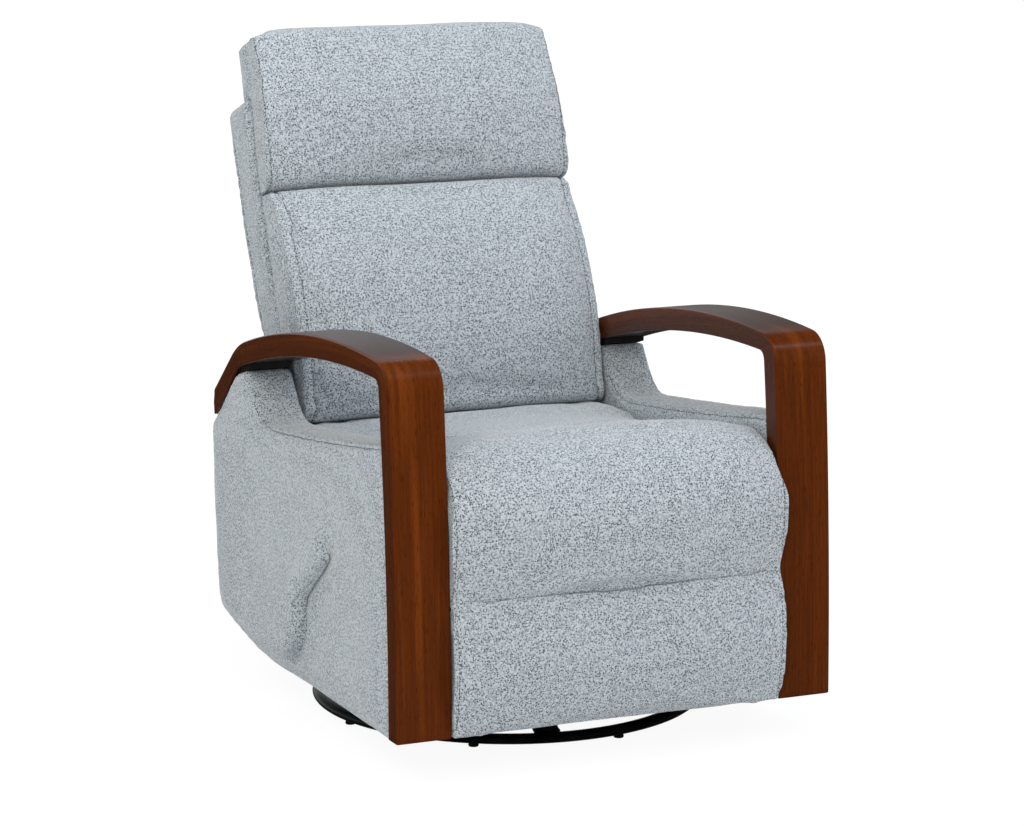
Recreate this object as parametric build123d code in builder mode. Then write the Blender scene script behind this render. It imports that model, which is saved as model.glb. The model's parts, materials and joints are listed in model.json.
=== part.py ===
"""Swivel glider recliner with bent plywood arms, a reclining back and a lazy-tongs footrest.

Millimetres. +X is the sitter's left, -Y the front, +Z up, with the floor at Z = 0.
"""

import os
from math import atan2, cos, degrees, radians, sin

from build123d import *

os.makedirs("parts", exist_ok=True)

# Overall form
half_width = 350.0  # middle of the chair to the outer face of an arm
post_front = 430.0  # middle of the chair to the foot of the front posts
arm_height = 611.0  # floor to the highest point of an arm
post_foot = 64.0  # floor to the foot of a front post

# Bent plywood arms
plank_width = 86.0
post_thickness = 32.0
arm_thickness = 33.0
tip_thickness = 29.0
bend_radius = 15.0  # inside of the bend between post and arm
elbow_radius = 200.0
arm_crest_reach = 330.0  # reaches run from the foot of a post
arm_hollow_reach = 386.0
arm_hollow = 16.5  # rise of the underside of an arm
arm_elbow_reach = 651.0
arm_elbow_drop = 75.3
leg_tip_reach = 773.0
leg_tip_drop = 176.0
plank_edge = 4.0  # rounding of the long edges
spacer_drop = 4.0  # black packing under the arm

# Upholstered sides
side_inset = 5.0  # outer face of a side behind the outer face of its arm
side_reveal = 2.0  # inner face of a side outside the inner edge of its arm
side_rounding = 9.0
sill_front = 481.0
sill_low = 426.0
sill_radius = 110.0  # curve from the sill up to the riser
side_foot = 55.0  # floor to the underside of a side
side_bend_reach = 450.0  # foot of a post to the start of the upward curve
side_reach = 786.0
side_rear_drop = 218.0  # top of an arm to the upper rear corner of a side
side_low_reach = 757.0
side_low_height = 98.0

# Swivel base
ring_radius = 290.0
ring_tube = 25.0
ring_y = -32.0  # swivel axis
foot_count = 8
foot_first_angle = -79.0
foot_radius = 8.0
foot_height = 4.5
saddle_height = 6.0
saddle_clearance = 0.2
spoke_count = 4
spoke_width = 38.0
steel = 5.0  # thickness of spokes, stands, hangers and rails
hub_radius = 80.0
hub_underside = 40.0
hub_flat = 165.0  # level length of a spoke from the swivel axis
bearing_side = 150.0
bearing_sheet = 3.0
bearing_ring_radius = 62.0
bearing_ring_width = 12.0
bearing_ring_height = 5.7
king_bolt = 16.0
turntable_rim = 14.0  # turntable outside the glide stands
turntable_depth = 270.0
turntable_sheet = 4.0

# Glide
pivot_span = 210.0  # front pivots to rear pivots
pivot_height = 215.0
hanger_length = 120.0
hanger_width = 28.0
glide_angle = 15.0
tower_foot = 35.0
stand_inset = 68.0  # inner face of a stand inside the mechanism plate
pivot_pin = 12.0
pin_head = 4.0
layer_gap = 2.0  # air between neighbouring steel parts
running_clearance = 0.05
tube_diameter = 25.0
tube_wall = 2.0
rail_depth = 50.0

# Recliner mechanism
plate_offset = 20.0  # inner face of a mechanism plate inside the side
plate_sheet = 4.0
plate_bottom = 72.0
plate_top = 285.0
spacer_diameter = 18.0

# Footrest linkage
link_length = 165.0
link_cross = 75.0  # first pivot to the crossing pivot
link_width = 14.0
link_sheet = 6.0
link_pin = 8.0
link_fold = 84.8  # half angle between the links with the footrest closed
link_spread = 5.2  # half angle with the footrest open
link_tilt = 28.0  # direction in which the footrest travels
loop_clearance = 0.4  # play of the two pins that close the linkage
link_pivot_y = -356.0
link_pivot_z = 92.0

# Footrest
board_thickness = 12.0
board_low = 85.0
board_high = 200.0
board_side_gap = 14.0
pad_low = 70.0
pad_high = 255.5
pad_depth = 56.0

# Seat
rail_height = 40.0
rail_thickness = 25.0
rail_underside = 290.0
rail_setback = 14.0  # front rail behind the foot of the posts
strap_count = 6
strap_width = 50.0
strap_thickness = 3.0
seat_gap = 4.0  # cushion to a side
seat_rear = 170.0
seat_rear_height = 408.0
seat_crest = 474.0
crease_height = 258.0

# Back
back_rake = 20.5
back_foot_y = 270.5  # lower end of the hinge line of the back
back_foot_z = 395.0
back_depth = 55.0  # hinge line to the front of the shell
back_bulge = 18.0  # hinge line to the rear of the shell
back_length = 525.0
back_gap = 4.0  # back to a side
back_corner = 70.0
back_pivot_y = 235.0
back_pivot_z = 365.0
cushion_seat = 1.0  # air behind a back cushion
lumbar_side_gap = 8.0
head_side_gap = 10.0
crease_length = 363.0  # foot of the back to the crease between its cushions
head_length = 628.0
bracket_flange = 40.0
back_rounding = 14.0
rear_panel_thickness = 18.0
rear_panel_low = 112.0
rear_panel_high = 350.0
skirt_thickness = 8.0
skirt_length = 78.0

# Release lever
lever_pivot_y = -142.0
lever_pivot_z = 290.0
lever_reach = 188.5
lever_lean = 38.75
lever_top_radius = 15.0
lever_end_radius = 28.0
lever_depth = 18.5
lever_shaft = 14.0
lever_gap = 1.0
lever_crank_length = 60.0
lever_side = -1

# Places that follow from the sizes above
post_inner = half_width - plank_width
side_outer = half_width - side_inset
side_inner = post_inner + side_reveal
ring_z = foot_height + ring_tube / 2
hub_top = hub_underside + steel
bearing_top = hub_top + bearing_sheet
upper_bearing = bearing_top + bearing_ring_height + 0.3
turntable_underside = upper_bearing + bearing_sheet
turntable_top = turntable_underside + turntable_sheet
plate_x = side_inner - plate_offset
stand_x = plate_x - stand_inset
turntable_length = 2 * (stand_x + steel) + turntable_rim
hanger_x = stand_x + steel + layer_gap
rail_x = hanger_x + steel + layer_gap
front_pivot_y = ring_y - pivot_span / 2
rear_pivot_y = ring_y + pivot_span / 2
lower_pivot_z = pivot_height - hanger_length
glide_travel = hanger_length * sin(radians(glide_angle))
tube_offset = tower_foot + glide_travel + tube_diameter / 2 + 8.0
outer_layer = plate_x - layer_gap - link_sheet
inner_layer = outer_layer - layer_gap - link_sheet
board_rear = -link_pivot_y + 38.0
rail_front = post_front - post_thickness - rail_setback
straps_top = rail_underside + rail_height + strap_thickness
seat_half = side_inner - seat_gap
back_half = side_inner - back_gap


def save(piece, name):
    """Label a finished piece and write it as one node."""
    piece.part.label = name
    export_step(piece.part, f"parts/{name}.step")


def side_plane(side, inner, thickness):
    """YZ plane from which a slab of that thickness fills inner to inner + thickness on one side."""
    return Plane.YZ.offset(inner if side > 0 else -inner - thickness)


def pin(side, y, z, diameter, inner, outer):
    """Round pin along X between two distances from the middle of the chair."""
    with BuildSketch(side_plane(side, inner, outer - inner)) as section:
        with Locations((y, z)):
            Circle(diameter / 2)
    extrude(section.sketch, amount=outer - inner)


# Swivel base
with BuildPart() as base_ring:
    with Locations((0, ring_y, ring_z)):
        Torus(ring_radius, ring_tube / 2)
save(base_ring, "base_ring")

with BuildPart() as base_feet:
    with Locations((0, ring_y, 0)):
        with PolarLocations(ring_radius, foot_count, start_angle=foot_first_angle):
            Cylinder(foot_radius, foot_height + saddle_height, align=(Align.CENTER, Align.CENTER, Align.MIN))
    chamfer(base_feet.faces().filter_by(Axis.Z).group_by(Axis.Z)[0].edges(), foot_radius / 8)
    with Locations((0, ring_y, ring_z)):
        Torus(ring_radius, ring_tube / 2 + saddle_clearance, mode=Mode.SUBTRACT)
save(base_feet, "base_feet")

with BuildPart() as base_spider:
    with Locations((0, ring_y, hub_underside)):
        Cylinder(hub_radius, steel, align=(Align.CENTER, Align.CENTER, Align.MIN))
    for spoke in range(spoke_count):
        angle = foot_first_angle - 180 / foot_count + 360 / spoke_count * spoke
        outward = Vector(cos(radians(angle)), sin(radians(angle)), 0)
        spoke_plane = Plane(origin=(0, ring_y, 0), x_dir=outward, z_dir=outward.cross(Vector(0, 0, 1)))
        with BuildSketch(spoke_plane):
            Polygon(
                (hub_radius / 2, hub_underside),
                (hub_flat, hub_underside),
                (ring_radius - ring_tube, ring_z - steel / 2),
                (ring_radius, ring_z - steel / 2),
                (ring_radius, ring_z + steel / 2),
                (ring_radius - ring_tube, ring_z + steel / 2),
                (hub_flat, hub_top),
                (hub_radius / 2, hub_top),
                align=None,
            )
        extrude(amount=spoke_width / 2, both=True)
    with Locations((0, ring_y, ring_z)):
        Torus(ring_radius, ring_tube / 2, mode=Mode.SUBTRACT)
    with Locations((0, ring_y, hub_underside)):
        Cylinder(king_bolt / 2, 4 * steel, mode=Mode.SUBTRACT)
save(base_spider, "base_spider")

with BuildPart() as swivel_plate_lower:
    with BuildSketch(Plane.XY.offset(hub_top)):
        with Locations((0, ring_y)):
            RectangleRounded(bearing_side, bearing_side, 20)
            Circle(king_bolt / 2, mode=Mode.SUBTRACT)
    extrude(amount=bearing_sheet)
save(swivel_plate_lower, "swivel_plate_lower")

with BuildPart() as swivel_bearing:
    with BuildSketch(Plane.XY.offset(bearing_top)):
        with Locations((0, ring_y)):
            Circle(bearing_ring_radius + bearing_ring_width / 2)
            Circle(bearing_ring_radius - bearing_ring_width / 2, mode=Mode.SUBTRACT)
    extrude(amount=bearing_ring_height)
save(swivel_bearing, "swivel_bearing")

with BuildPart() as swivel_king_bolt:
    with Locations((0, ring_y, hub_underside)):
        Cylinder(king_bolt / 2, turntable_top + 0.3 - hub_underside, align=(Align.CENTER, Align.CENTER, Align.MIN))
    with Locations((0, ring_y, turntable_top + 0.3)):
        Cylinder(king_bolt * 0.9, pin_head, align=(Align.CENTER, Align.CENTER, Align.MIN))
    with BuildSketch(Plane.XY.offset(hub_underside)):
        with Locations((0, ring_y)):
            RegularPolygon(king_bolt * 0.9, 6)
    extrude(amount=-2 * pin_head)
save(swivel_king_bolt, "swivel_king_bolt")

# Turntable and its glide stands
with BuildPart() as swivel_plate_upper:
    with BuildSketch(Plane.XY.offset(upper_bearing)):
        with Locations((0, ring_y)):
            RectangleRounded(bearing_side, bearing_side, 20)
            Circle(king_bolt / 2 + running_clearance, mode=Mode.SUBTRACT)
    extrude(amount=bearing_sheet)
save(swivel_plate_upper, "swivel_plate_upper")

with BuildPart() as turntable_plate:
    with BuildSketch(Plane.XY.offset(turntable_underside)):
        with Locations((0, ring_y)):
            RectangleRounded(turntable_length, turntable_depth, 30)
            Circle(king_bolt / 2 + running_clearance, mode=Mode.SUBTRACT)
    extrude(amount=turntable_sheet)
save(turntable_plate, "turntable_plate")

for side, name in ((1, "left"), (-1, "right")):
    with BuildPart() as glide_stand:
        with BuildSketch(side_plane(side, stand_x, steel)):
            with Locations((ring_y, turntable_top + tower_foot / 2)):
                Rectangle(pivot_span + 2 * tower_foot, tower_foot)
            for pivot_y in (front_pivot_y, rear_pivot_y):
                Polygon(
                    (pivot_y - tower_foot, turntable_top),
                    (pivot_y - hanger_width / 2, pivot_height),
                    (pivot_y + hanger_width / 2, pivot_height),
                    (pivot_y + tower_foot, turntable_top),
                    align=None,
                )
                with Locations((pivot_y, pivot_height)):
                    Circle(hanger_width / 2)
                    Circle(pivot_pin / 2, mode=Mode.SUBTRACT)
        extrude(amount=steel)
        with BuildSketch(side_plane(side, stand_x - tower_foot, tower_foot + steel)):
            with Locations((ring_y, turntable_top + steel / 2)):
                Rectangle(pivot_span, steel)
        extrude(amount=tower_foot + steel)
    save(glide_stand, f"glide_stand_{name}")

with BuildPart() as glide_top_pins:
    for side in (1, -1):
        for pivot_y in (front_pivot_y, rear_pivot_y):
            pin(side, pivot_y, pivot_height, pivot_pin, stand_x - pin_head, hanger_x + steel + 0.5)
            pin(side, pivot_y, pivot_height, pivot_pin * 1.6, stand_x - pin_head, stand_x)
save(glide_top_pins, "glide_top_pins")

# Hangers: the chair swings on them
for name, pivot_y in (("front", front_pivot_y), ("rear", rear_pivot_y)):
    with BuildPart() as hangers:
        for side in (1, -1):
            with BuildSketch(side_plane(side, hanger_x, steel)):
                with Locations((pivot_y, pivot_height - hanger_length / 2)):
                    SlotCenterToCenter(hanger_length, hanger_width, rotation=90)
                with Locations((pivot_y, pivot_height), (pivot_y, lower_pivot_z)):
                    Circle(pivot_pin / 2 + running_clearance, mode=Mode.SUBTRACT)
            extrude(amount=steel)
    save(hangers, f"glide_hangers_{name}")

# Carriage: rails, pins and cross tubes that hang on the hangers
tube_places = (front_pivot_y - tube_offset, rear_pivot_y + tube_offset)
for side, name in ((1, "left"), (-1, "right")):
    with BuildPart() as carriage_rail:
        with BuildSketch(side_plane(side, rail_x, steel)):
            with Locations((ring_y, lower_pivot_z)):
                SlotOverall(pivot_span + 2 * tube_offset + 2 * rail_depth, rail_depth)
            with Locations((front_pivot_y, lower_pivot_z), (rear_pivot_y, lower_pivot_z)):
                Circle(pivot_pin / 2, mode=Mode.SUBTRACT)
            with Locations(*[(y, lower_pivot_z) for y in tube_places]):
                Circle(tube_diameter / 2, mode=Mode.SUBTRACT)
        extrude(amount=steel)
    save(carriage_rail, f"carriage_rail_{name}")

with BuildPart() as glide_lower_pins:
    for side in (1, -1):
        for pivot_y in (front_pivot_y, rear_pivot_y):
            pin(side, pivot_y, lower_pivot_z, pivot_pin, hanger_x - 1, rail_x + steel + pin_head)
            pin(side, pivot_y, lower_pivot_z, pivot_pin * 1.6, rail_x + steel, rail_x + steel + pin_head)
save(glide_lower_pins, "glide_lower_pins")

for name, tube_y in zip(("front", "rear"), tube_places):
    with BuildPart() as carriage_tube:
        with BuildSketch(Plane.YZ.offset(-plate_x)):
            with Locations((tube_y, lower_pivot_z)):
                Circle(tube_diameter / 2)
                Circle(tube_diameter / 2 - tube_wall, mode=Mode.SUBTRACT)
        extrude(amount=2 * plate_x)
    save(carriage_tube, f"carriage_tube_{name}")

# Footrest linkage, in the plane of the side: forward is -Y


def ahead(origin, length, angle):
    """Point at a distance and at an angle above the forward direction."""
    return (origin[0] - length * cos(radians(angle)), origin[1] + length * sin(radians(angle)))


link_pivot = (link_pivot_y, link_pivot_z)
rising = link_tilt + link_fold
falling = link_tilt - link_fold
link_rest = link_length - link_cross
pivot_crossing = ahead(link_pivot, link_cross, rising)
pivot_elbow = ahead(link_pivot, link_length, rising)
pivot_tail = ahead(link_pivot, 2 * link_cross * sin(radians(link_fold)), link_tilt + 90)
pivot_tail_open = ahead(link_pivot, 2 * link_cross * sin(radians(link_spread)), link_tilt + 90)
pivot_fork = ahead(pivot_crossing, link_rest, falling)
pivot_mate = ahead(pivot_elbow, link_rest, falling)
link_end = ahead(pivot_elbow, link_length, falling)


def bar(side, start, end, inner, holes):
    """Flat link with round ends from one pivot to another, with (place, diameter) holes."""
    middle = ((start[0] + end[0]) / 2, (start[1] + end[1]) / 2)
    run = Vector(end[0] - start[0], end[1] - start[1], 0)
    with BuildSketch(side_plane(side, inner, link_sheet)) as outline:
        with Locations(middle):
            SlotCenterToCenter(run.length, link_width, rotation=degrees(atan2(run.Y, run.X)))
        for place, diameter in holes:
            with Locations(place):
                Circle(diameter / 2, mode=Mode.SUBTRACT)
    extrude(outline.sketch, amount=link_sheet)


running_pin = link_pin + 2 * running_clearance
loose_pin = link_pin + 2 * loop_clearance

with BuildPart() as footrest_link_main:
    for side in (1, -1):
        holes = ((link_pivot, running_pin), (pivot_crossing, link_pin), (pivot_elbow, link_pin))
        bar(side, link_pivot, pivot_elbow, outer_layer, holes)
save(footrest_link_main, "footrest_link_main")

with BuildPart() as footrest_main_pins:
    for side in (1, -1):
        for place in (pivot_crossing, pivot_elbow):
            pin(side, *place, link_pin, inner_layer - 0.5, outer_layer + link_sheet)
            pin(side, *place, link_pin * 1.6, inner_layer - 0.5 - pin_head, inner_layer - 0.5)
save(footrest_main_pins, "footrest_main_pins")

with BuildPart() as footrest_link_cross:
    for side in (1, -1):
        holes = ((pivot_tail, link_pin), (pivot_crossing, running_pin), (pivot_fork, loose_pin))
        bar(side, pivot_tail, pivot_fork, inner_layer, holes)
save(footrest_link_cross, "footrest_link_cross")

with BuildPart() as footrest_slot_pins:
    for side in (1, -1):
        pin(side, *pivot_tail, link_pin, inner_layer, plate_x + plate_sheet)
save(footrest_slot_pins, "footrest_slot_pins")

with BuildPart() as footrest_link_board:
    for side in (1, -1):
        holes = ((pivot_elbow, running_pin), (pivot_mate, link_pin))
        bar(side, pivot_elbow, link_end, inner_layer, holes)
save(footrest_link_board, "footrest_link_board")

with BuildPart() as footrest_mate_pins:
    for side in (1, -1):
        pin(side, *pivot_mate, link_pin, inner_layer - pin_head, outer_layer + link_sheet)
        pin(side, *pivot_mate, link_pin * 1.6, inner_layer - pin_head, inner_layer)
save(footrest_mate_pins, "footrest_mate_pins")

with BuildPart() as footrest_link_short:
    for side in (1, -1):
        holes = ((pivot_fork, link_pin), (pivot_mate, running_pin))
        bar(side, pivot_fork, pivot_mate, outer_layer, holes)
save(footrest_link_short, "footrest_link_short")

with BuildPart() as footrest_fork_pins:
    for side in (1, -1):
        pin(side, *pivot_fork, link_pin, inner_layer, outer_layer + link_sheet)
save(footrest_fork_pins, "footrest_fork_pins")

# Footrest board, its brackets and its pad
with BuildPart() as footrest_board:
    with BuildSketch(Plane.XZ.offset(board_rear)):
        with Locations((0, (board_low + board_high) / 2)):
            RectangleRounded(2 * (side_inner - board_side_gap), board_high - board_low, 8)
    extrude(amount=board_thickness)
save(footrest_board, "footrest_board")

for side, name in ((1, "left"), (-1, "right")):
    with BuildPart() as footrest_bracket:
        with BuildSketch(side_plane(side, inner_layer - steel, steel)):
            lug = ahead(link_end, -2 * link_width, falling)
            with Locations(((lug[0] + link_end[0]) / 2, (lug[1] + link_end[1]) / 2)):
                SlotCenterToCenter(2 * link_width, link_width, rotation=-falling)
            Polygon(
                (-board_rear, link_end[1] - link_width / 2),
                (-board_rear, link_end[1] + 4 * link_width),
                (-board_rear + steel, link_end[1] + 4 * link_width),
                (link_end[0] + link_width / 2, link_end[1] + link_width),
                (link_end[0], link_end[1] - link_width / 2),
                align=None,
            )
        extrude(amount=steel)
        with BuildSketch(side_plane(side, inner_layer - 6 * steel, 6 * steel)):
            with Locations((-board_rear + steel / 2, link_end[1] + 1.75 * link_width)):
                Rectangle(steel, 4.5 * link_width)
        extrude(amount=6 * steel)
    save(footrest_bracket, f"footrest_bracket_{name}")


def cushion(stations, profile):
    """Loft one cushion across the chair: each station is (X, how far its face is drawn in)."""
    sections = []
    for x, drawn in stations:
        with BuildSketch(Plane.YZ.offset(x)) as section:
            with BuildLine():
                profile(drawn)
            make_face()
        sections.append(section.sketch)
    loft(sections)


def crown_stations(half, edge, shoulder):
    """Stations of a stuffed cushion: drawn in at the ends, full in the middle."""
    inner = half - 0.16 * half
    return ((-half, edge), (-inner, shoulder), (0, 0), (inner, shoulder), (half, edge))


pad_rear = -board_rear - board_thickness
pad_front = pad_rear - pad_depth


def pad_profile(drawn):
    foot = (pad_rear - 26, pad_low + drawn * 0.4)
    brow = (pad_front + 20 + drawn, pad_high - drawn * 0.4)
    heel = (pad_rear, board_high + 12)
    Line((pad_rear, board_low - 8), foot)
    ThreePointArc(foot, (pad_front + drawn, (pad_low + pad_high) / 2), brow)
    Line(brow, heel)
    Line(heel, (pad_rear, board_low - 8))


with BuildPart() as footrest_pad:
    cushion(crown_stations(seat_half - 2, 14, 3), pad_profile)
save(footrest_pad, "footrest_pad")

# Mechanism plates with the slot that guides the crossing link
for side, name in ((1, "left"), (-1, "right")):
    with BuildPart() as mechanism_plate:
        with BuildSketch(side_plane(side, plate_x, plate_sheet)):
            Polygon(
                (-board_rear + 6, plate_bottom),
                (tube_places[1] + tube_diameter, plate_bottom),
                (back_pivot_y + 22, back_pivot_z),
                (back_pivot_y - 22, back_pivot_z),
                (seat_rear + 12, plate_top),
                (link_pivot_y + 30, plate_top),
                (-board_rear + 6, plate_top - 60),
                align=None,
            )
            with Locations((back_pivot_y, back_pivot_z)):
                Circle(22)
                Circle(pivot_pin / 2, mode=Mode.SUBTRACT)
            with Locations((lever_pivot_y, lever_pivot_z)):
                Circle(22)
                Circle(lever_shaft / 2 + running_clearance, mode=Mode.SUBTRACT)
            with Locations(link_pivot):
                Circle(link_pin / 2, mode=Mode.SUBTRACT)
            slot_middle = ((pivot_tail[0] + pivot_tail_open[0]) / 2, (pivot_tail[1] + pivot_tail_open[1]) / 2)
            slot_run = Vector(*pivot_tail, 0) - Vector(*pivot_tail_open, 0)
            with Locations(slot_middle):
                SlotCenterToCenter(
                    slot_run.length + 2 * loop_clearance,
                    loose_pin,
                    rotation=90 - link_tilt,
                    mode=Mode.SUBTRACT,
                )
        extrude(amount=plate_sheet)
    save(mechanism_plate, f"mechanism_plate_{name}")

spacer_places = (
    (link_pivot_y + 70, plate_bottom + 25),
    (link_pivot_y + 115, plate_top - 30),
    (seat_rear - 90, plate_top - 30),
    (tube_places[1] - 40, plate_bottom + 25),
)
with BuildPart() as mechanism_spacers:
    for side in (1, -1):
        for place in spacer_places:
            pin(side, *place, spacer_diameter, plate_x + plate_sheet, side_inner)
save(mechanism_spacers, "mechanism_spacers")

with BuildPart() as footrest_pivot_pins:
    for side in (1, -1):
        pin(side, *link_pivot, link_pin, outer_layer, plate_x + plate_sheet + pin_head)
        pin(side, *link_pivot, link_pin * 1.6, plate_x + plate_sheet, plate_x + plate_sheet + pin_head)
save(footrest_pivot_pins, "footrest_pivot_pins")

with BuildPart() as back_pivot_pins:
    for side in (1, -1):
        pin(side, back_pivot_y, back_pivot_z, pivot_pin, outer_layer - pin_head - 0.5, plate_x + plate_sheet)
        pin(side, back_pivot_y, back_pivot_z, pivot_pin * 1.6, outer_layer - pin_head - 0.5, outer_layer - 0.5)
save(back_pivot_pins, "back_pivot_pins")

# Bent plywood arms: post, arm and rear leg are one plank, drawn with sharp corners that are then bent round
front = -post_front
bend_outer = (front + 31, arm_height - 9)
crest_outer = (front + arm_crest_reach, arm_height - 7.5)
elbow_outer = (front + arm_elbow_reach, arm_height - arm_elbow_drop)
tip_outer = (front + leg_tip_reach, arm_height - leg_tip_drop)
tip_inner = (tip_outer[0] - 0.64 * tip_thickness, tip_outer[1] - 0.77 * tip_thickness)
elbow_inner = (elbow_outer[0], elbow_outer[1] - arm_thickness)
crest_inner = (front + arm_hollow_reach, arm_height - arm_thickness - arm_hollow)
bend_inner = (front + post_thickness + 34, arm_height - arm_thickness)
leg_inner = ((elbow_inner[0] + tip_inner[0]) / 2, (elbow_inner[1] + tip_inner[1]) / 2)
corner_radii = (
    (bend_outer, bend_radius + post_thickness),
    (elbow_outer, elbow_radius),
    (tip_outer, tip_thickness * 0.35),
    (tip_inner, tip_thickness * 0.35),
    (elbow_inner, 0.3 * elbow_radius),
    (bend_inner, bend_radius),
)

for side, name in ((1, "left"), (-1, "right")):
    with BuildPart() as arm:
        with BuildSketch(side_plane(side, post_inner, plank_width)) as plank:
            with BuildLine():
                ThreePointArc((front, post_foot), (front + 8, 300), bend_outer)
                ThreePointArc(bend_outer, crest_outer, elbow_outer)
                Polyline(elbow_outer, tip_outer, tip_inner, elbow_inner)
                ThreePointArc(elbow_inner, crest_inner, bend_inner)
                ThreePointArc(bend_inner, (front + post_thickness + 9, 320), (front + post_thickness, post_foot))
                Line((front + post_thickness, post_foot), (front, post_foot))
            make_face()
            for corner, radius in corner_radii:
                fillet(plank.vertices().sort_by_distance((*corner, 0))[0], radius)
        extrude(amount=plank_width)
        fillet(arm.edges().group_by(Axis.X)[0] + arm.edges().group_by(Axis.X)[-1], plank_edge)
    save(arm, f"arm_{name}")

    spacer_width = plank_width - 16
    with BuildPart() as arm_spacer:
        with BuildSketch(side_plane(side, post_inner + 8, spacer_width)):
            Polygon(
                (elbow_inner[0] - 34, elbow_inner[1] + 18),
                (elbow_inner[0] - 34, elbow_inner[1] - spacer_drop + 6),
                (elbow_inner[0] - 6, elbow_inner[1] - spacer_drop - 2),
                (leg_inner[0] - 2, leg_inner[1] - spacer_drop),
                (leg_inner[0] + 6, leg_inner[1] + 8),
                align=None,
            )
        extrude(amount=spacer_width)
        add(arm.part, mode=Mode.SUBTRACT)
    save(arm_spacer, f"arm_spacer_{name}")

    # Upholstered side with its low sill, the riser under the arm and a bottom that curves up behind
    side_width = side_outer - side_inner
    hidden_front = front + post_thickness - 1
    sill_start = (hidden_front, sill_front + 4)
    valley = (front + 574, sill_low - 3)
    riser_brow = (elbow_inner[0] - 26, elbow_inner[1] - spacer_drop + 3)
    leg_top = (elbow_inner[0] + 13, elbow_inner[1] - 11)
    leg_low = (tip_inner[0] + 2, tip_inner[1] + 3)
    rear_top = (front + side_reach, arm_height - side_rear_drop)
    rear_low = (front + side_low_reach, side_low_height)
    rear_middle = (rear_top[0] - 3, 0.65 * rear_top[1] + 0.35 * rear_low[1])
    bottom_bend = (front + side_bend_reach, side_foot)
    with BuildPart() as side_panel:
        with BuildSketch(side_plane(side, side_inner, side_width)) as side_outline:
            with BuildLine():
                Polyline(bottom_bend, (hidden_front, side_foot), sill_start)
                ThreePointArc(sill_start, (front + 290, (sill_front + sill_low) / 2 - 3), valley)
                Polyline(valley, riser_brow, leg_top, leg_low, rear_top)
                ThreePointArc(rear_top, rear_middle, rear_low)
                TangentArc(bottom_bend, rear_low, tangent=(1, 0))
            make_face()
            for corner, radius in ((valley, sill_radius), (riser_brow, 8), (rear_low, 25), (rear_top, 12)):
                fillet(side_outline.vertices().sort_by_distance((*corner, 0))[0], radius)
        extrude(amount=side_width)
        fillet(side_panel.edges().group_by(Axis.X)[0] + side_panel.edges().group_by(Axis.X)[-1], side_rounding)
        extrude(plank.sketch, amount=plank_width, mode=Mode.SUBTRACT)
        add(arm_spacer.part, mode=Mode.SUBTRACT)
        if side == lever_side:
            with BuildSketch(side_plane(side, side_inner, side_width)):
                with Locations((lever_pivot_y, lever_pivot_z)):
                    Circle(lever_shaft / 2 + running_clearance)
            extrude(amount=side_width, mode=Mode.SUBTRACT)
    save(side_panel, f"side_panel_{name}")

with BuildPart() as rear_panel:
    with BuildSketch(Plane.XZ.offset(-rear_low[0] + 2 * rear_panel_thickness)):
        with Locations((0, (rear_panel_low + rear_panel_high) / 2)):
            Rectangle(2 * side_inner, rear_panel_high - rear_panel_low)
    extrude(amount=-rear_panel_thickness)
    fillet(rear_panel.edges().filter_by(Axis.X), rear_panel_thickness * 0.4)
save(rear_panel, "rear_panel")

# Seat frame, straps and cushion with its rolled front
for name, rail_start in (("front", -rail_front), ("rear", seat_rear - rail_thickness - 6)):
    with BuildPart() as seat_rail:
        with BuildSketch(Plane.YZ.offset(-side_inner)):
            with Locations((rail_start + rail_thickness / 2, rail_underside + rail_height / 2)):
                Rectangle(rail_thickness, rail_height)
        extrude(amount=2 * side_inner)
    save(seat_rail, f"seat_rail_{name}")

strap_pitch = 2 * seat_half / strap_count
with BuildPart() as seat_straps:
    with BuildSketch(Plane.XY.offset(straps_top - strap_thickness)):
        with Locations((0, (seat_rear - 6 - rail_front) / 2)):
            with GridLocations(strap_pitch, 0, strap_count, 1):
                Rectangle(strap_width, rail_front + seat_rear - 6)
    extrude(amount=strap_thickness)
save(seat_straps, "seat_straps")


def seat_profile(drawn):
    rear_top = (seat_rear - 2, seat_rear_height - drawn)
    crest = (front + 110, seat_crest - drawn)
    nose = (front - 27 + drawn, (seat_crest + crease_height) / 2)
    crease = (front - 7 + 0.8 * drawn, crease_height + 0.3 * drawn)
    rail_face = -rail_front - 2
    ThreePointArc(rear_top, (front + 350, seat_crest - 40 - drawn), crest)
    ThreePointArc(crest, (front + 14 + 0.7 * drawn, seat_crest - 22 - drawn), nose)
    ThreePointArc(nose, (front - 22 + drawn, crease_height + 48), crease)
    Line(crease, (rail_face, crease_height + 24))
    Line((rail_face, crease_height + 24), (rail_face, straps_top))
    Line((rail_face, straps_top), (seat_rear, straps_top))
    Line((seat_rear, straps_top), rear_top)


with BuildPart() as seat_cushion:
    cushion(crown_stations(seat_half, 14, 3), seat_profile)
save(seat_cushion, "seat_cushion")

# Reclining back: shell, cushions and hinge brackets, in a plane that leans with the back
back_plane = Plane(
    origin=(0, back_foot_y, back_foot_z),
    x_dir=(1, 0, 0),
    z_dir=(0, -cos(radians(back_rake)), sin(radians(back_rake))),
)


def on_back(length, depth):
    """Point of the YZ plane at a length up the back and a depth in front of its hinge line."""
    place = back_plane.from_local_coords((0, length, depth))
    return (place.Y, place.Z)


with BuildPart() as back_shell:
    with BuildSketch(back_plane.offset(-back_bulge)):
        with Locations((0, back_length / 2)):
            outline = Rectangle(2 * back_half, back_length)
        fillet(outline.vertices().sort_by(Axis.Z)[-2:], back_corner)
    extrude(amount=back_depth + back_bulge)
    fillet(back_shell.faces().sort_by(Axis.Y)[-1].edges(), back_rounding)
save(back_shell, "back_shell")

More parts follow.
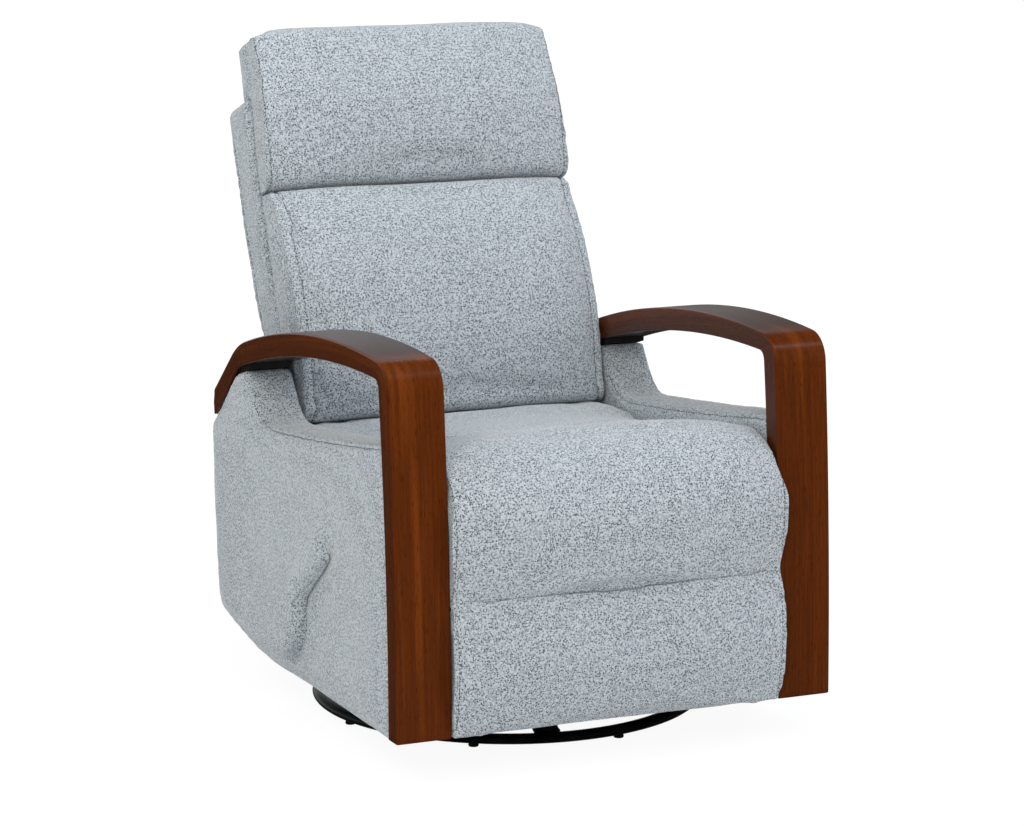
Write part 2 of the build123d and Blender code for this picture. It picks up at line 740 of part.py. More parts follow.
# Padded flap that closes the gap under the shell
with BuildPart() as back_skirt:
    with BuildSketch(back_plane):
        with Locations((0, -skirt_length / 2)):
            Rectangle(2 * (outer_layer - layer_gap), skirt_length)
    extrude(amount=skirt_thickness)
    fillet(back_skirt.edges().filter_by(Axis.X).sort_by(Axis.Z)[:2], skirt_thickness * 0.4)
save(back_skirt, "back_skirt")


def lumbar_profile(drawn):
    seat = back_depth + cushion_seat
    face = back_depth + 82 - drawn
    top = crease_length - 2
    points = [on_back(*p) for p in ((2, seat), (-10, face - 22), (-4, face - 8), (16, face))]
    Line(points[0], points[1])
    ThreePointArc(points[1], points[2], points[3])
    brow = on_back(top - 26, face - 16)
    ThreePointArc(points[3], on_back(150, face + 20), brow)
    shoulder = on_back(top, face - 46)
    ThreePointArc(brow, on_back(top - 5, face - 28), shoulder)
    Line(shoulder, on_back(top, seat))
    Line(on_back(top, seat), points[0])


with BuildPart() as lumbar_cushion:
    cushion(crown_stations(side_inner - lumbar_side_gap, 16, 4), lumbar_profile)
save(lumbar_cushion, "lumbar_cushion")


def head_profile(drawn):
    seat = back_depth + cushion_seat
    cap = back_depth * 0.4
    face = back_depth + 62 - drawn
    low = crease_length + 2
    chin = on_back(low + 26, face)
    ThreePointArc(on_back(low, face - 30), on_back(low + 6, face - 11), chin)
    brow = on_back(head_length - 34, face - 2)
    ThreePointArc(chin, on_back((low + head_length) / 2, face + 12), brow)
    crown = on_back(head_length, face - 40)
    ThreePointArc(brow, on_back(head_length - 8, face - 14), crown)
    Line(crown, on_back(head_length, cap + 10))
    Line(on_back(head_length, cap + 10), on_back(head_length - 14, cap))
    Line(on_back(head_length - 14, cap), on_back(back_length + cushion_seat, cap))
    Line(on_back(back_length + cushion_seat, cap), on_back(back_length + cushion_seat, seat))
    Line(on_back(back_length + cushion_seat, seat), on_back(low, seat))
    Line(on_back(low, seat), on_back(low, face - 30))


with BuildPart() as head_cushion:
    cushion(crown_stations(side_inner - head_side_gap, 14, 3), head_profile)
save(head_cushion, "head_cushion")

for side, name in ((1, "left"), (-1, "right")):
    with BuildPart() as back_bracket:
        with BuildSketch(side_plane(side, outer_layer, steel)):
            Polygon(
                (back_pivot_y - 18, back_pivot_z),
                on_back(0, back_depth - 8),
                on_back(0, skirt_thickness),
                (back_pivot_y + 18, back_pivot_z),
                align=None,
            )
            with Locations((back_pivot_y, back_pivot_z)):
                Circle(18)
                Circle(pivot_pin / 2 + running_clearance, mode=Mode.SUBTRACT)
        extrude(amount=steel)
        with BuildSketch(side_plane(side, outer_layer - bracket_flange, bracket_flange)):
            Polygon(
                on_back(0, back_depth - 8),
                on_back(0, skirt_thickness),
                on_back(-steel, skirt_thickness),
                on_back(-steel, back_depth - 8),
                align=None,
            )
        extrude(amount=bracket_flange)
    save(back_bracket, f"back_bracket_{name}")

# Release lever on the sitter's right: covered handle, shaft and crank
lever_tip = (
    lever_pivot_y + lever_reach * sin(radians(lever_lean)),
    lever_pivot_z - lever_reach * cos(radians(lever_lean)),
)
handle_inner = side_outer + lever_gap
with BuildPart() as lever_handle:
    with BuildSketch(side_plane(lever_side, handle_inner, lever_depth)):
        with Locations((lever_pivot_y, lever_pivot_z)):
            Circle(lever_top_radius)
        with Locations(lever_tip):
            Circle(lever_end_radius)
        make_hull()
    extrude(amount=lever_depth)
    fillet(lever_handle.faces().sort_by(Axis.X)[0].edges(), lever_depth * 0.42)
    with BuildSketch(side_plane(lever_side, handle_inner, lever_depth / 2)):
        with Locations((lever_pivot_y, lever_pivot_z)):
            Circle(lever_shaft / 2)
    extrude(amount=lever_depth / 2, mode=Mode.SUBTRACT)
save(lever_handle, "lever_handle")

crank_inner = plate_x - layer_gap - steel
with BuildPart() as lever_shaft_rod:
    pin(lever_side, lever_pivot_y, lever_pivot_z, lever_shaft, crank_inner, handle_inner + lever_depth / 2)
save(lever_shaft_rod, "lever_shaft")

with BuildPart() as lever_crank:
    with BuildSketch(side_plane(lever_side, crank_inner, steel)):
        with Locations((lever_pivot_y, lever_pivot_z - lever_crank_length / 2)):
            SlotCenterToCenter(lever_crank_length, 2 * lever_shaft, rotation=90)
        with Locations((lever_pivot_y, lever_pivot_z)):
            Circle(lever_shaft / 2, mode=Mode.SUBTRACT)
        with Locations((lever_pivot_y, lever_pivot_z - lever_crank_length)):
            Circle(lever_shaft / 4, mode=Mode.SUBTRACT)
    extrude(amount=steel)
save(lever_crank, "lever_crank")
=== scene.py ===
"""Swivel glider recliner with bent plywood arms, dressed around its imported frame.

Metres. +X is the sitter's left, -Y the front, +Z up, with the floor at Z = 0.
"""

import json
import math

import bmesh
import bpy
import numpy as np
from mathutils import Matrix, Vector, bvhtree, kdtree, noise


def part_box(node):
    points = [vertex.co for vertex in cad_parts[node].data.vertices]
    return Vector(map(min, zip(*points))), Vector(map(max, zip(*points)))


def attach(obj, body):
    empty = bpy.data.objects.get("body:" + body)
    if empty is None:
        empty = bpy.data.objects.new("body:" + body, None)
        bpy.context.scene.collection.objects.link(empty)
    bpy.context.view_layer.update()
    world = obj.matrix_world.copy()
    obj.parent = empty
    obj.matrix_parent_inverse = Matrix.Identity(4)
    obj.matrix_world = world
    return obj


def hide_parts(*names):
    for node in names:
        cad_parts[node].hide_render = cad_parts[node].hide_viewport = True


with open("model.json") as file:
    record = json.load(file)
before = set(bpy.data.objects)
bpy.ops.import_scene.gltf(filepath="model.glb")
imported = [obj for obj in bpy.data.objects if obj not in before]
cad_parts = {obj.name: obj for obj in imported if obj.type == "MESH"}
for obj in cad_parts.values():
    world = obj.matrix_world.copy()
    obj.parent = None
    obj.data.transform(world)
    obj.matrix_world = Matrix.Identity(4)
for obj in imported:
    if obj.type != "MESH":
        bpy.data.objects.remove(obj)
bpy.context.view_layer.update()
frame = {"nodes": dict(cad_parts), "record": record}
scene = bpy.context.scene
MM = 0.001

# Places that the frame shares with the looks, in metres
HALF_WIDTH = 0.350
POST_INNER = 0.264
POST_FRONT = -0.430
RING_Y = -0.032
RING_RADIUS = 0.290
RING_WIDE = 0.027
RING_TALL = 0.015
RING_HEIGHT = 0.012
FOOT_COUNT = 8
FOOT_FIRST_ANGLE = -79.0
SIDE_OUTER = 0.345
SIDE_INNER = 0.266
SIDE_HELD = 0.2685
BETWEEN_SIDES = 0.2632
BACK_FOOT = np.array((0.0, 0.2705, 0.395))
BACK_RAKE = math.radians(20.5)
BACK_UP = np.array((0.0, math.sin(BACK_RAKE), math.cos(BACK_RAKE)))
BACK_OUT = np.array((0.0, -math.cos(BACK_RAKE), math.sin(BACK_RAKE)))


def linear(code):
    """sRGB hex colour as a linear RGBA tuple."""
    channels = [int(code[i : i + 2], 16) / 255 for i in (1, 3, 5)]
    return tuple(c / 12.92 if c <= 0.04045 else ((c + 0.055) / 1.055) ** 2.4 for c in channels) + (1.0,)


def add(tree, kind, inputs=(), **settings):
    """Add a node, set its properties, and set or link its inputs."""
    node = tree.nodes.new(kind)
    for key, value in settings.items():
        setattr(node, key, value)
    for key, value in dict(inputs).items():
        if isinstance(value, bpy.types.NodeSocket):
            tree.links.new(value, node.inputs[key])
        else:
            node.inputs[key].default_value = value
    return node


def surface(name, **sockets):
    """A material with one shader: returns it, its tree and the shader node."""
    material = bpy.data.materials.new(name)
    material.use_nodes = True
    tree = material.node_tree
    tree.nodes.clear()
    shader = add(tree, "ShaderNodeBsdfPrincipled", {k.replace("_", " "): v for k, v in sockets.items()})
    add(tree, "ShaderNodeOutputMaterial", {"Surface": shader.outputs["BSDF"]})
    return material, tree, shader


def ramp(tree, value, low, high):
    """Smooth step of a value from 0 at low to 1 at high."""
    settings = {"Value": value, "From Min": low, "From Max": high}
    return add(tree, "ShaderNodeMapRange", settings, interpolation_type="SMOOTHSTEP").outputs["Result"]


def blend_colours(tree, factor, first, second):
    """Mix of two colours by a factor."""
    node = add(tree, "ShaderNodeMix", data_type="RGBA")
    for socket, value in ((node.inputs[0], factor), (node.inputs[6], first), (node.inputs[7], second)):
        if isinstance(value, bpy.types.NodeSocket):
            tree.links.new(value, socket)
        else:
            socket.default_value = value
    return node.outputs[2]


def bump(tree, shader, height, strength, depth):
    """Give the shader a relief of a real depth in metres."""
    relief = add(tree, "ShaderNodeBump", {"Height": height, "Strength": strength, "Distance": depth})
    tree.links.new(relief.outputs["Normal"], shader.inputs["Normal"])


# Materials


def boucle_cloth():
    """Boucle chenille: pale looped yarn with painted shade between the loops and short dark flecks, so it is
    grainy and matt with a soft rim.
    """
    material, tree, shader = surface(
        "grey_blue_boucle",
        Roughness=0.95,
        Specular_IOR_Level=0.2,
        Sheen_Weight=0.4,
        Sheen_Roughness=0.45,
    )
    place = add(tree, "ShaderNodeTexCoord").outputs["Object"]
    # Dark flecks about 2 mm wide and 3 mm apart, some paler, thicker in some patches than in others
    spot = add(tree, "ShaderNodeTexVoronoi", {"Vector": place, "Scale": 1 / (3.1 * MM), "Randomness": 0.82})
    patch = add(tree, "ShaderNodeTexNoise", {"Vector": place, "Scale": 1 / (60 * MM), "Detail": 1.0})
    ragged = add(tree, "ShaderNodeTexNoise", {"Vector": place, "Scale": 1 / (1.6 * MM), "Detail": 0.0})
    patchy_reach = {0: patch.outputs["Fac"], 1: 0.06, 2: 0.46}
    reach = add(tree, "ShaderNodeMath", patchy_reach, operation="MULTIPLY_ADD")
    ragged_edge = {0: ragged.outputs["Fac"], 1: 0.25, 2: spot.outputs["Distance"]}
    edge = add(tree, "ShaderNodeMath", ragged_edge, operation="MULTIPLY_ADD")
    inside = add(tree, "ShaderNodeMath", {0: edge.outputs[0], 1: reach.outputs[0]}, operation="DIVIDE")
    chance = add(tree, "ShaderNodeSeparateColor", {"Color": spot.outputs["Color"]}).outputs["Red"]
    darkness = add(tree, "ShaderNodeMath", {0: chance, 1: 0.45, 2: 0.65}, operation="MULTIPLY_ADD")
    darkened = {0: ramp(tree, inside.outputs[0], 1.08, 0.84), 1: darkness.outputs[0]}
    fleck = add(tree, "ShaderNodeMath", darkened, operation="MULTIPLY").outputs[0]
    # Loops of yarn about 3 mm apart, pale on their crowns, with painted shade in the gaps between them
    loop = add(tree, "ShaderNodeTexVoronoi", {"Vector": place, "Scale": 1 / (3.0 * MM)})
    crown = ramp(tree, loop.outputs["Distance"], 0.8, 0.1)
    shaded_yarn = blend_colours(tree, crown, linear("#98A1A7"), linear("#C3CBD1"))
    colour = blend_colours(tree, fleck, shaded_yarn, linear("#202428"))
    tree.links.new(colour, shader.inputs["Base Color"])
    pile = add(tree, "ShaderNodeMath", {0: fleck, 1: -0.4, 2: crown}, operation="MULTIPLY_ADD")
    bump(tree, shader, pile.outputs[0], 0.4, 0.9 * MM)
    return material


def grain_noise(tree, place, length, width, **settings):
    """Noise drawn out along X: streaks of a real length and width in metres."""
    drawn = add(tree, "ShaderNodeMapping", {"Vector": place, "Scale": (1 / length, 1 / width, 1 / width)})
    inputs = {"Vector": drawn.outputs[0], "Scale": 1.0, **settings}
    return add(tree, "ShaderNodeTexNoise", inputs).outputs["Fac"]


def stained_plywood():
    """Bent plywood, stained red-brown under satin lacquer: long grain, dark pores, a soft grey sheen, and
    painted shade on top of the arm and on its ply edges.
    """
    material, tree, shader = surface("stained_bent_plywood", Roughness=0.27, Specular_IOR_Level=0.2)
    grain = add(tree, "ShaderNodeAttribute", attribute_name="grain").outputs["Vector"]
    # Grain lines about 2.5 mm apart and 120 mm long, pores 0.8 mm wide drawn coarse enough to show
    streak = grain_noise(tree, grain, 120 * MM, 2.5 * MM, Detail=3.0, Distortion=0.3)
    pore = grain_noise(tree, grain, 14 * MM, 0.8 * MM, Detail=1.0)
    broad = grain_noise(tree, grain, 700 * MM, 24 * MM, Detail=2.0)
    stain_and_shade = blend_colours(tree, ramp(tree, streak, 0.3, 0.75), linear("#502202"), linear("#602A03"))
    wide = blend_colours(tree, ramp(tree, broad, 0.52, 0.72), stain_and_shade, linear("#713506"))
    speck = ramp(tree, pore, 0.62, 0.72)
    pored = blend_colours(tree, speck, wide, linear("#341202"))
    # Boards about 50 mm wide are glued side by side, each with its own tone
    board = add(tree, "ShaderNodeMapping", {"Vector": grain, "Scale": (0.0, 1 / (52 * MM), 0.0)})
    row = add(tree, "ShaderNodeVectorMath", {0: board.outputs[0]}, operation="FLOOR")
    tone = add(tree, "ShaderNodeTexWhiteNoise", {"Vector": row.outputs[0]})
    shade = add(tree, "ShaderNodeMath", {0: tone.outputs["Value"], 1: 0.28}, operation="MULTIPLY")
    boards = blend_colours(tree, shade.outputs[0], pored, linear("#301002"))
    # The ply edges are darker, partly as stain soaked into the end grain and partly as painted shade; the
    # top of the arm is darkened as painted shade
    depth = add(tree, "ShaderNodeAttribute", attribute_name="stain_and_shade").outputs["Fac"]
    colour = blend_colours(tree, depth, boards, linear("#1D1004"))
    tree.links.new(colour, shader.inputs["Base Color"])
    return material


def enamel(name, colour, roughness, grit_mm, specular=0.5):
    """Sprayed enamel or powder coat: an even skin with a fine orange-peel relief."""
    material, tree, shader = surface(name, Specular_IOR_Level=specular)
    place = add(tree, "ShaderNodeTexCoord").outputs["Object"]
    peel = add(tree, "ShaderNodeTexNoise", {"Vector": place, "Scale": 1 / (grit_mm * MM), "Detail": 2.0})
    dust = add(tree, "ShaderNodeTexNoise", {"Vector": place, "Scale": 1 / (35 * MM), "Detail": 3.0})
    dull = blend_colours(tree, ramp(tree, dust.outputs["Fac"], 0.35, 0.8), linear(colour), linear("#1C1D1F"))
    tree.links.new(dull, shader.inputs["Base Color"])
    uneven = {0: dust.outputs["Fac"], 1: 0.15, 2: roughness}
    rough = add(tree, "ShaderNodeMath", uneven, operation="MULTIPLY_ADD")
    tree.links.new(rough.outputs[0], shader.inputs["Roughness"])
    bump(tree, shader, peel.outputs["Fac"], 0.2, 0.15 * MM)
    return material


def zinc_plate():
    """Bright zinc plate: a cool metal with cloudy roughness."""
    material, tree, shader = surface("zinc_plated_steel", Metallic=1.0)
    place = add(tree, "ShaderNodeTexCoord").outputs["Object"]
    cloud = add(tree, "ShaderNodeTexNoise", {"Vector": place, "Scale": 1 / (6 * MM), "Detail": 3.0})
    tone = blend_colours(tree, cloud.outputs["Fac"], linear("#A5A8AC"), linear("#C6C8CA"))
    tree.links.new(tone, shader.inputs["Base Color"])
    uneven = {0: cloud.outputs["Fac"], 1: 0.25, 2: 0.22}
    rough = add(tree, "ShaderNodeMath", uneven, operation="MULTIPLY_ADD")
    tree.links.new(rough.outputs[0], shader.inputs["Roughness"])
    return material


def sawn_softwood():
    """Sawn softwood of the hidden frame: pale yellow with brown growth lines along X."""
    material, tree, shader = surface("sawn_softwood", Roughness=0.75)
    place = add(tree, "ShaderNodeTexCoord").outputs["Object"]
    ring = grain_noise(tree, place, 150 * MM, 6 * MM, Detail=3.0, Distortion=0.4)
    tone = blend_colours(tree, ramp(tree, ring, 0.3, 0.7), linear("#C9A66E"), linear("#9C7443"))
    tree.links.new(tone, shader.inputs["Base Color"])
    bump(tree, shader, ring, 0.3, 0.3 * MM)
    return material


def elastic_webbing():
    """Woven elastic webbing: broad dark bands across the strap, about 19 mm apart."""
    material, tree, shader = surface("elastic_webbing", Roughness=0.9)
    place = add(tree, "ShaderNodeTexCoord").outputs["Object"]
    waved = {"Vector": place, "Scale": 1 / (60 * MM), "Distortion": 0.6, "Detail": 1.0}
    ribs = add(tree, "ShaderNodeTexWave", waved, bands_direction="Y")
    tone = blend_colours(tree, ribs.outputs["Fac"], linear("#2A2624"), linear("#4A443F"))
    tree.links.new(tone, shader.inputs["Base Color"])
    bump(tree, shader, ribs.outputs["Fac"], 0.6, 0.6 * MM)
    return material


def seam_thread():
    """Bonded polyester thread, dark grey and far darker than the cloth so that it also stands for the
    painted shade along the seams, with a faint twist.
    """
    material, tree, shader = surface("grey_seam_thread", Roughness=0.7)
    place = add(tree, "ShaderNodeTexCoord").outputs["Object"]
    twist = add(tree, "ShaderNodeTexNoise", {"Vector": place, "Scale": 1 / (1.2 * MM)})
    tone = blend_colours(tree, twist.outputs["Fac"], linear("#2E3236"), linear("#4A4F54"))
    tree.links.new(tone, shader.inputs["Base Color"])
    return material


finishes = {
    "fabric": boucle_cloth(),
    "stained_plywood": stained_plywood(),
    # The packing under each arm is matt black, as painted shade in the gap between the arm and the side
    # cover
    "black_packing": enamel("black_packing_painted_shade", "#0C0C0D", 0.75, 2.0),
    "bare_wood": sawn_softwood(),
    "webbing": elastic_webbing(),
    "black_gloss_tube": enamel("gloss_black_enamel", "#08080A", 0.26, 3.0, specular=0.15),
    "black_plastic": enamel("black_moulded_plastic", "#101113", 0.5, 1.2),
    "black_steel": enamel("black_powder_coat", "#131416", 0.5, 1.5),
    "zinc_steel": zinc_plate(),
}
thread = seam_thread()

for subpart in frame["record"]["subparts"]:
    node = frame["nodes"][subpart["node"]]
    node.data.materials.clear()
    node.data.materials.append(finishes[subpart["material_slot"]])


# Mesh helpers


def new_object(name, mesh):
    piece = bpy.data.objects.new(name, mesh)
    scene.collection.objects.link(piece)
    return piece


def mesh_from(name, points, faces):
    mesh = bpy.data.meshes.new(name)
    mesh.from_pydata([tuple(p) for p in points], [], faces)
    mesh.update()
    return mesh


def welded_copy(node, name):
    """A copy of a CAD node with its loose triangles joined."""
    mesh = frame["nodes"][node].data.copy()
    mesh.name = name
    mesh.materials.clear()
    shell = bmesh.new()
    shell.from_mesh(mesh)
    bmesh.ops.remove_doubles(shell, verts=shell.verts, dist=1e-5)
    shell.to_mesh(mesh)
    shell.free()
    return new_object(name, mesh)


def plain(piece):
    """Turn a piece's modifiers into its own mesh."""
    graph = bpy.context.evaluated_depsgraph_get()
    mesh = bpy.data.meshes.new_from_object(piece.evaluated_get(graph))
    mesh.name = piece.name
    piece.modifiers.clear()
    old = piece.data
    piece.data = mesh
    bpy.data.meshes.remove(old)


def get_points(piece):
    flat = np.empty(len(piece.data.vertices) * 3)
    piece.data.vertices.foreach_get("co", flat)
    return flat.reshape(-1, 3)


def get_normals(piece):
    flat = np.empty(len(piece.data.vertices) * 3)
    piece.data.vertex_normals.foreach_get("vector", flat)
    return flat.reshape(-1, 3)


def set_points(piece, points):
    piece.data.vertices.foreach_set("co", np.ascontiguousarray(points, dtype=np.float32).ravel())
    piece.data.update()


def smooth_shading(piece):
    piece.data.polygons.foreach_set("use_smooth", [True] * len(piece.data.polygons))
    piece.data.update()


def evenly(line, pitch):
    """Points about a pitch apart along a line, and how far along each one lies."""
    line = np.asarray(line, float)
    steps = np.linalg.norm(np.diff(line, axis=0), axis=1)
    along = np.concatenate(([0.0], np.cumsum(steps)))
    count = max(2, int(round(along[-1] / pitch)) + 1)
    wanted = np.linspace(0, along[-1], count)
    return np.stack([np.interp(wanted, along, line[:, i]) for i in range(3)], axis=1), wanted


def face_outline(piece, x):
    """The longest closed outline of the flat faces that lie at one X, as an ordered line of points."""
    shell = bmesh.new()
    shell.from_mesh(piece.data)
    follows = {}
    for edge in shell.edges:
        if all(abs(v.co.x - x) < 1e-4 for v in edge.verts):
            flat = [all(abs(v.co.x - x) < 1e-4 for v in f.verts) for f in edge.link_faces]
            if sum(flat) == 1:
                for first, second in (edge.verts, reversed(edge.verts)):
                    follows.setdefault(first.index, []).append(second.index)
    places = [tuple(v.co) for v in shell.verts]
    shell.free()
    loops, seen = [], set()
    for start in follows:
        if start in seen:
            continue
        loop, here = [start], start
        seen.add(start)
        while True:
            ahead = [n for n in follows[here] if n not in seen]
            if not ahead:
                break
            here = ahead[0]
            seen.add(here)
            loop.append(here)
        loops.append(np.array([places[i] for i in loop + [start]]))
    return max(loops, key=lambda line: np.linalg.norm(np.diff(line, axis=0), axis=1).sum())


def visible_runs(line, shown):
    """The runs of a closed line whose points are shown, each as a line of its own."""
    points = evenly(line, 4 * MM)[0][:-1]
    keep = np.array([bool(shown(p)) for p in points])
    if keep.all():
        return [np.vstack((points, points[:1]))]
    turn = int(np.argmin(keep))
    points, keep = np.roll(points, -turn, axis=0), np.roll(keep, -turn)
    runs, run = [], []
    for point, shows in zip(points, keep):
        if shows:
            run.append(point)
        elif run:
            runs.append(np.array(run))
            run = []
    if run:
        runs.append(np.array(run))
    return [r for r in runs if len(r) > 6]


def nearest(points, lines):
    """Distance of each point to the lines, and how far along the nearest line it is."""
    if not lines:
        return np.full(len(points), 1.0), np.zeros(len(points))
    samples = [evenly(line, 2 * MM) for line in lines]
    spots = np.vstack([s[0] for s in samples])
    along = np.concatenate([s[1] for s in samples])
    tree = kdtree.KDTree(len(spots))
    for i, spot in enumerate(spots):
        tree.insert(spot, i)
    tree.balance()
    found = [tree.find(p) for p in points]
    return np.array([f[2] for f in found]), along[[f[1] for f in found]]


def waves(points, wavelength, seed):
    """Smooth noise from -1 to 1 at each point."""
    shift = Vector((seed * 7.3, seed * 3.1, seed * 5.7))
    return np.array([noise.noise(Vector(p) / wavelength + shift) for p in points])


# Soft pieces: each starts from its CAD solid, is stuffed by a cloth simulation and then gets its seams


def on_back(points):
    """Length up the back and depth in front of its hinge line, of each point."""
    away = np.atleast_2d(points) - BACK_FOOT
    return away @ BACK_UP, away @ BACK_OUT


def swell(value, start, end):
    """Smooth step from 0 at start to 1 at end."""
    t = np.clip((value - start) / (end - start), 0.0, 1.0)
    return t * t * (3 - 2 * t)


def bell(value, middle, width):
    """Smooth bump of height 1 at the middle."""
    return np.exp(-(((value - middle) / width) ** 2))


def surface_of(piece):
    return bvhtree.BVHTree.FromObject(piece, bpy.context.evaluated_depsgraph_get())


def touching(points, nodes, reach):
    """Which points lie within reach of the given CAD nodes."""
    close = np.zeros(len(points), bool)
    for node in nodes:
        neighbour = surface_of(frame["nodes"][node])
        close |= np.array([neighbour.find_nearest(p, reach)[0] is not None for p in points])
    return close


def laid_on(piece, seams):
    """The seams, moved onto the surface of a piece."""
    skin = surface_of(piece)
    spread = [evenly(seam, 4 * MM)[0] for seam in seams]
    return [np.array([skin.find_nearest(spot)[0] for spot in spots]) for spots in spread]


def node_seams(node, x, shown, out=0.0, inward=0.0):
    """Visible runs of the outline of a CAD node's flat face at one X, moved onto the rounding beside it."""
    probe = welded_copy(node, "probe")
    line = face_outline(probe, x)
    mesh = probe.data
    bpy.data.objects.remove(probe)
    bpy.data.meshes.remove(mesh)
    y, z = line[:-1, 1], line[:-1, 2]
    around = math.copysign(1, np.sum(y * np.roll(z, -1) - np.roll(y, -1) * z))
    step = np.roll(line[:-1, 1:], -1, axis=0) - np.roll(line[:-1, 1:], 1, axis=0)
    step /= np.maximum(np.linalg.norm(step, axis=1, keepdims=True), 1e-9)
    moved = line[:-1].copy()
    moved[:, 1] += around * step[:, 1] * out
    moved[:, 2] -= around * step[:, 0] * out
    moved[:, 0] -= math.copysign(inward, x)
    return visible_runs(np.vstack((moved, moved[:1])), shown)


def both_ends(node, shown, out=0.0, inward=0.0):
    low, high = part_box(node)
    return [seam for x in (low.x, high.x) for seam in node_seams(node, x, shown, out, inward)]


# Where seams show: depth in front of the back's hinge line, then Y and Z of the seat and the sides
PILLOW_SEAM_DEPTH = 0.064
FRONT_SEAM_Y = -0.415
SEAT_TOP_SEAM_Z = 0.40
SILL_SEAM_Z = 0.41
SILL_FRONT_Y = -0.385
RISER_REAR_Y = 0.165


def front_of_shell(point):
    return on_back(point)[1][0] > PILLOW_SEAM_DEPTH


def front_of_pad(point):
    return point[1] < FRONT_SEAM_Y


def roll_and_top(point):
    return point[1] < FRONT_SEAM_Y or point[2] > SEAT_TOP_SEAM_Z


def sill_and_riser(point):
    return point[2] > SILL_SEAM_Z and SILL_FRONT_Y < point[1] < RISER_REAR_Y


def shell_rear_seam():
    """Seam round the rear panel of the back, on the rounding of the shell."""
    half, top, corner, depth = 0.258, 0.521, 0.066, -0.014
    turn = np.linspace(0, math.pi / 2, 12)
    inner, lower = half - corner, top - corner
    right = [(half, 0.01)]
    right += [(inner + corner * math.cos(t), lower + corner * math.sin(t)) for t in turn]
    outline = right + [(-x, length) for x, length in reversed(right)]
    spots = [BACK_FOOT + (x, 0, 0) + BACK_UP * length + BACK_OUT * depth for x, length in outline]
    return [np.array(spots)]


def side_seams(side, name):
    outer = node_seams(f"side_panel_{name}", side * SIDE_OUTER, sill_and_riser, 6.4 * MM, 2.6 * MM)
    inner = node_seams(f"side_panel_{name}", side * SIDE_INNER, sill_and_riser, 6.4 * MM, -2.6 * MM)
    return outer + inner


seat_cross_seam = [np.array([(x, -0.180, 0.452) for x in np.linspace(-0.262, 0.262, 60)])]

# Final forms that the filling gives: points come in, moved points go out
ROLL_WIDE = 0.274
ROLL_END = 0.2690
ROLL_TOP = 0.44
PAD_NARROW = 0.2628
PAD_WIDE = 0.272
PAD_END = 0.2672
PAD_FOOT_Z = 0.065
PAD_TOP_Z = 0.263


def head_form(points):
    """Head pillow: wider at its foot, with full upper corners, lying over the shell behind it."""
    length, depth = on_back(points)
    end = swell(np.abs(points[:, 0]), 0.195, 0.250)
    points[:, 0] *= 1.004 + 0.034 * (1 - swell(length, 0.37, 0.60))
    points -= BACK_UP * (5 * MM * (1 - swell(length, 0.365, 0.42)))[:, None]
    points += BACK_UP * (2 * MM * swell(length, 0.56, 0.62) * (1 - end))[:, None]
    corner = swell(np.abs(points[:, 0]), 0.212, 0.248) * swell(length, 0.555, 0.60)
    corner *= swell(depth, 0.085, 0.125)
    points += BACK_UP * (6 * MM * corner)[:, None]
    points[:, 0] += np.sign(points[:, 0]) * 4 * MM * corner
    # The part that lies over the shell comes down on it, and the ends slope at the top
    over = (1 - swell(depth, 0.030, 0.055)) * (1 - swell(length, 0.535, 0.580))
    points -= BACK_UP * (9 * MM * over)[:, None]
    length, depth = on_back(points)
    roof = 0.608 + 0.11 * (depth - 0.04) + 0.024 * (1 - end) + 0.2 * swell(depth, 0.100, 0.160)
    return points - BACK_UP * (0.9 * np.maximum(0, length - roof))[:, None]


def lumbar_form(points):
    """Lumbar pillow: drawn down at its foot and up under the head pillow, and filling the width."""
    length, _ = on_back(points)
    points -= BACK_UP * (12 * MM * (1 - swell(length, -0.01, 0.07)))[:, None]
    points += BACK_UP * (4 * MM * swell(length, 0.31, 0.36))[:, None]
    limit = BETWEEN_SIDES + 4 * MM * swell(length, 0.20, 0.32)
    points[:, 0] = np.clip(points[:, 0] * 1.018, -limit, limit)
    return points


def shell_form(points):
    """Back cover: wider above the sides, between them below, and full at the rear."""
    length, depth = on_back(points)
    wider = 5 * MM * swell(length, 0.12, 0.24) + 3 * MM * swell(length, 0.22, 0.34)
    points[:, 0] += np.sign(points[:, 0]) * wider * swell(np.abs(points[:, 0]), 0.22, 0.26)
    low = length < 0.16
    points[low, 0] = np.clip(points[low, 0], -BETWEEN_SIDES, BETWEEN_SIDES)
    full = 9 * MM * swell(-depth, -0.01, 0.015) * swell(length, 0.05, 0.2)
    return points - BACK_OUT * full[:, None]


def ahead_of_posts(points):
    """Share from 0 between the posts to 1 clear in front of them."""
    return swell(-points[:, 1], 0.433, 0.447)


def overhang(points, inner, outer):
    """Let a front cushion swell sideways over the posts."""
    shift = np.sign(points[:, 0]) * (outer - inner) * ahead_of_posts(points)
    points[:, 0] += shift * swell(np.abs(points[:, 0]), 0.225, 0.260)
    return points


def between_posts(points, inner, outer):
    """Keep a front cushion between the posts where it isn't in front of them."""
    limit = inner + (outer - inner) * ahead_of_posts(points)
    points[:, 0] = np.clip(points[:, 0], -limit, limit)
    return points


def rounded(distance, radius):
    """How far a rounded corner draws an edge in, at a distance from the end of that edge."""
    share = 1 - np.clip(distance / radius, 0.0, 1.0)
    return radius * (1 - np.sqrt(1 - share**2))


def filled_ends(points, low, high, half, foot_round, top_round, share):
    """Fill the ends of a cushion out to an even half width, rounded at the foot and the top."""
    band = 8 * MM
    z, wide = points[:, 2], np.abs(points[:, 0])
    count = int((high - low) / band) + 1
    level = np.clip(((z - low) / band).astype(int), 0, count - 1)
    widest = np.zeros(count)
    np.maximum.at(widest, level, np.where(points[:, 1] < POST_FRONT, wide, 0.0))
    found = widest > 0.0
    now = np.interp(z, (low + band * (np.arange(count) + 0.5))[found], widest[found])
    wanted = half - rounded(z - low, foot_round) - rounded(high - z, top_round)
    points[:, 0] += np.sign(points[:, 0]) * (wanted - now) * share * swell(wide, 0.19, 0.25)


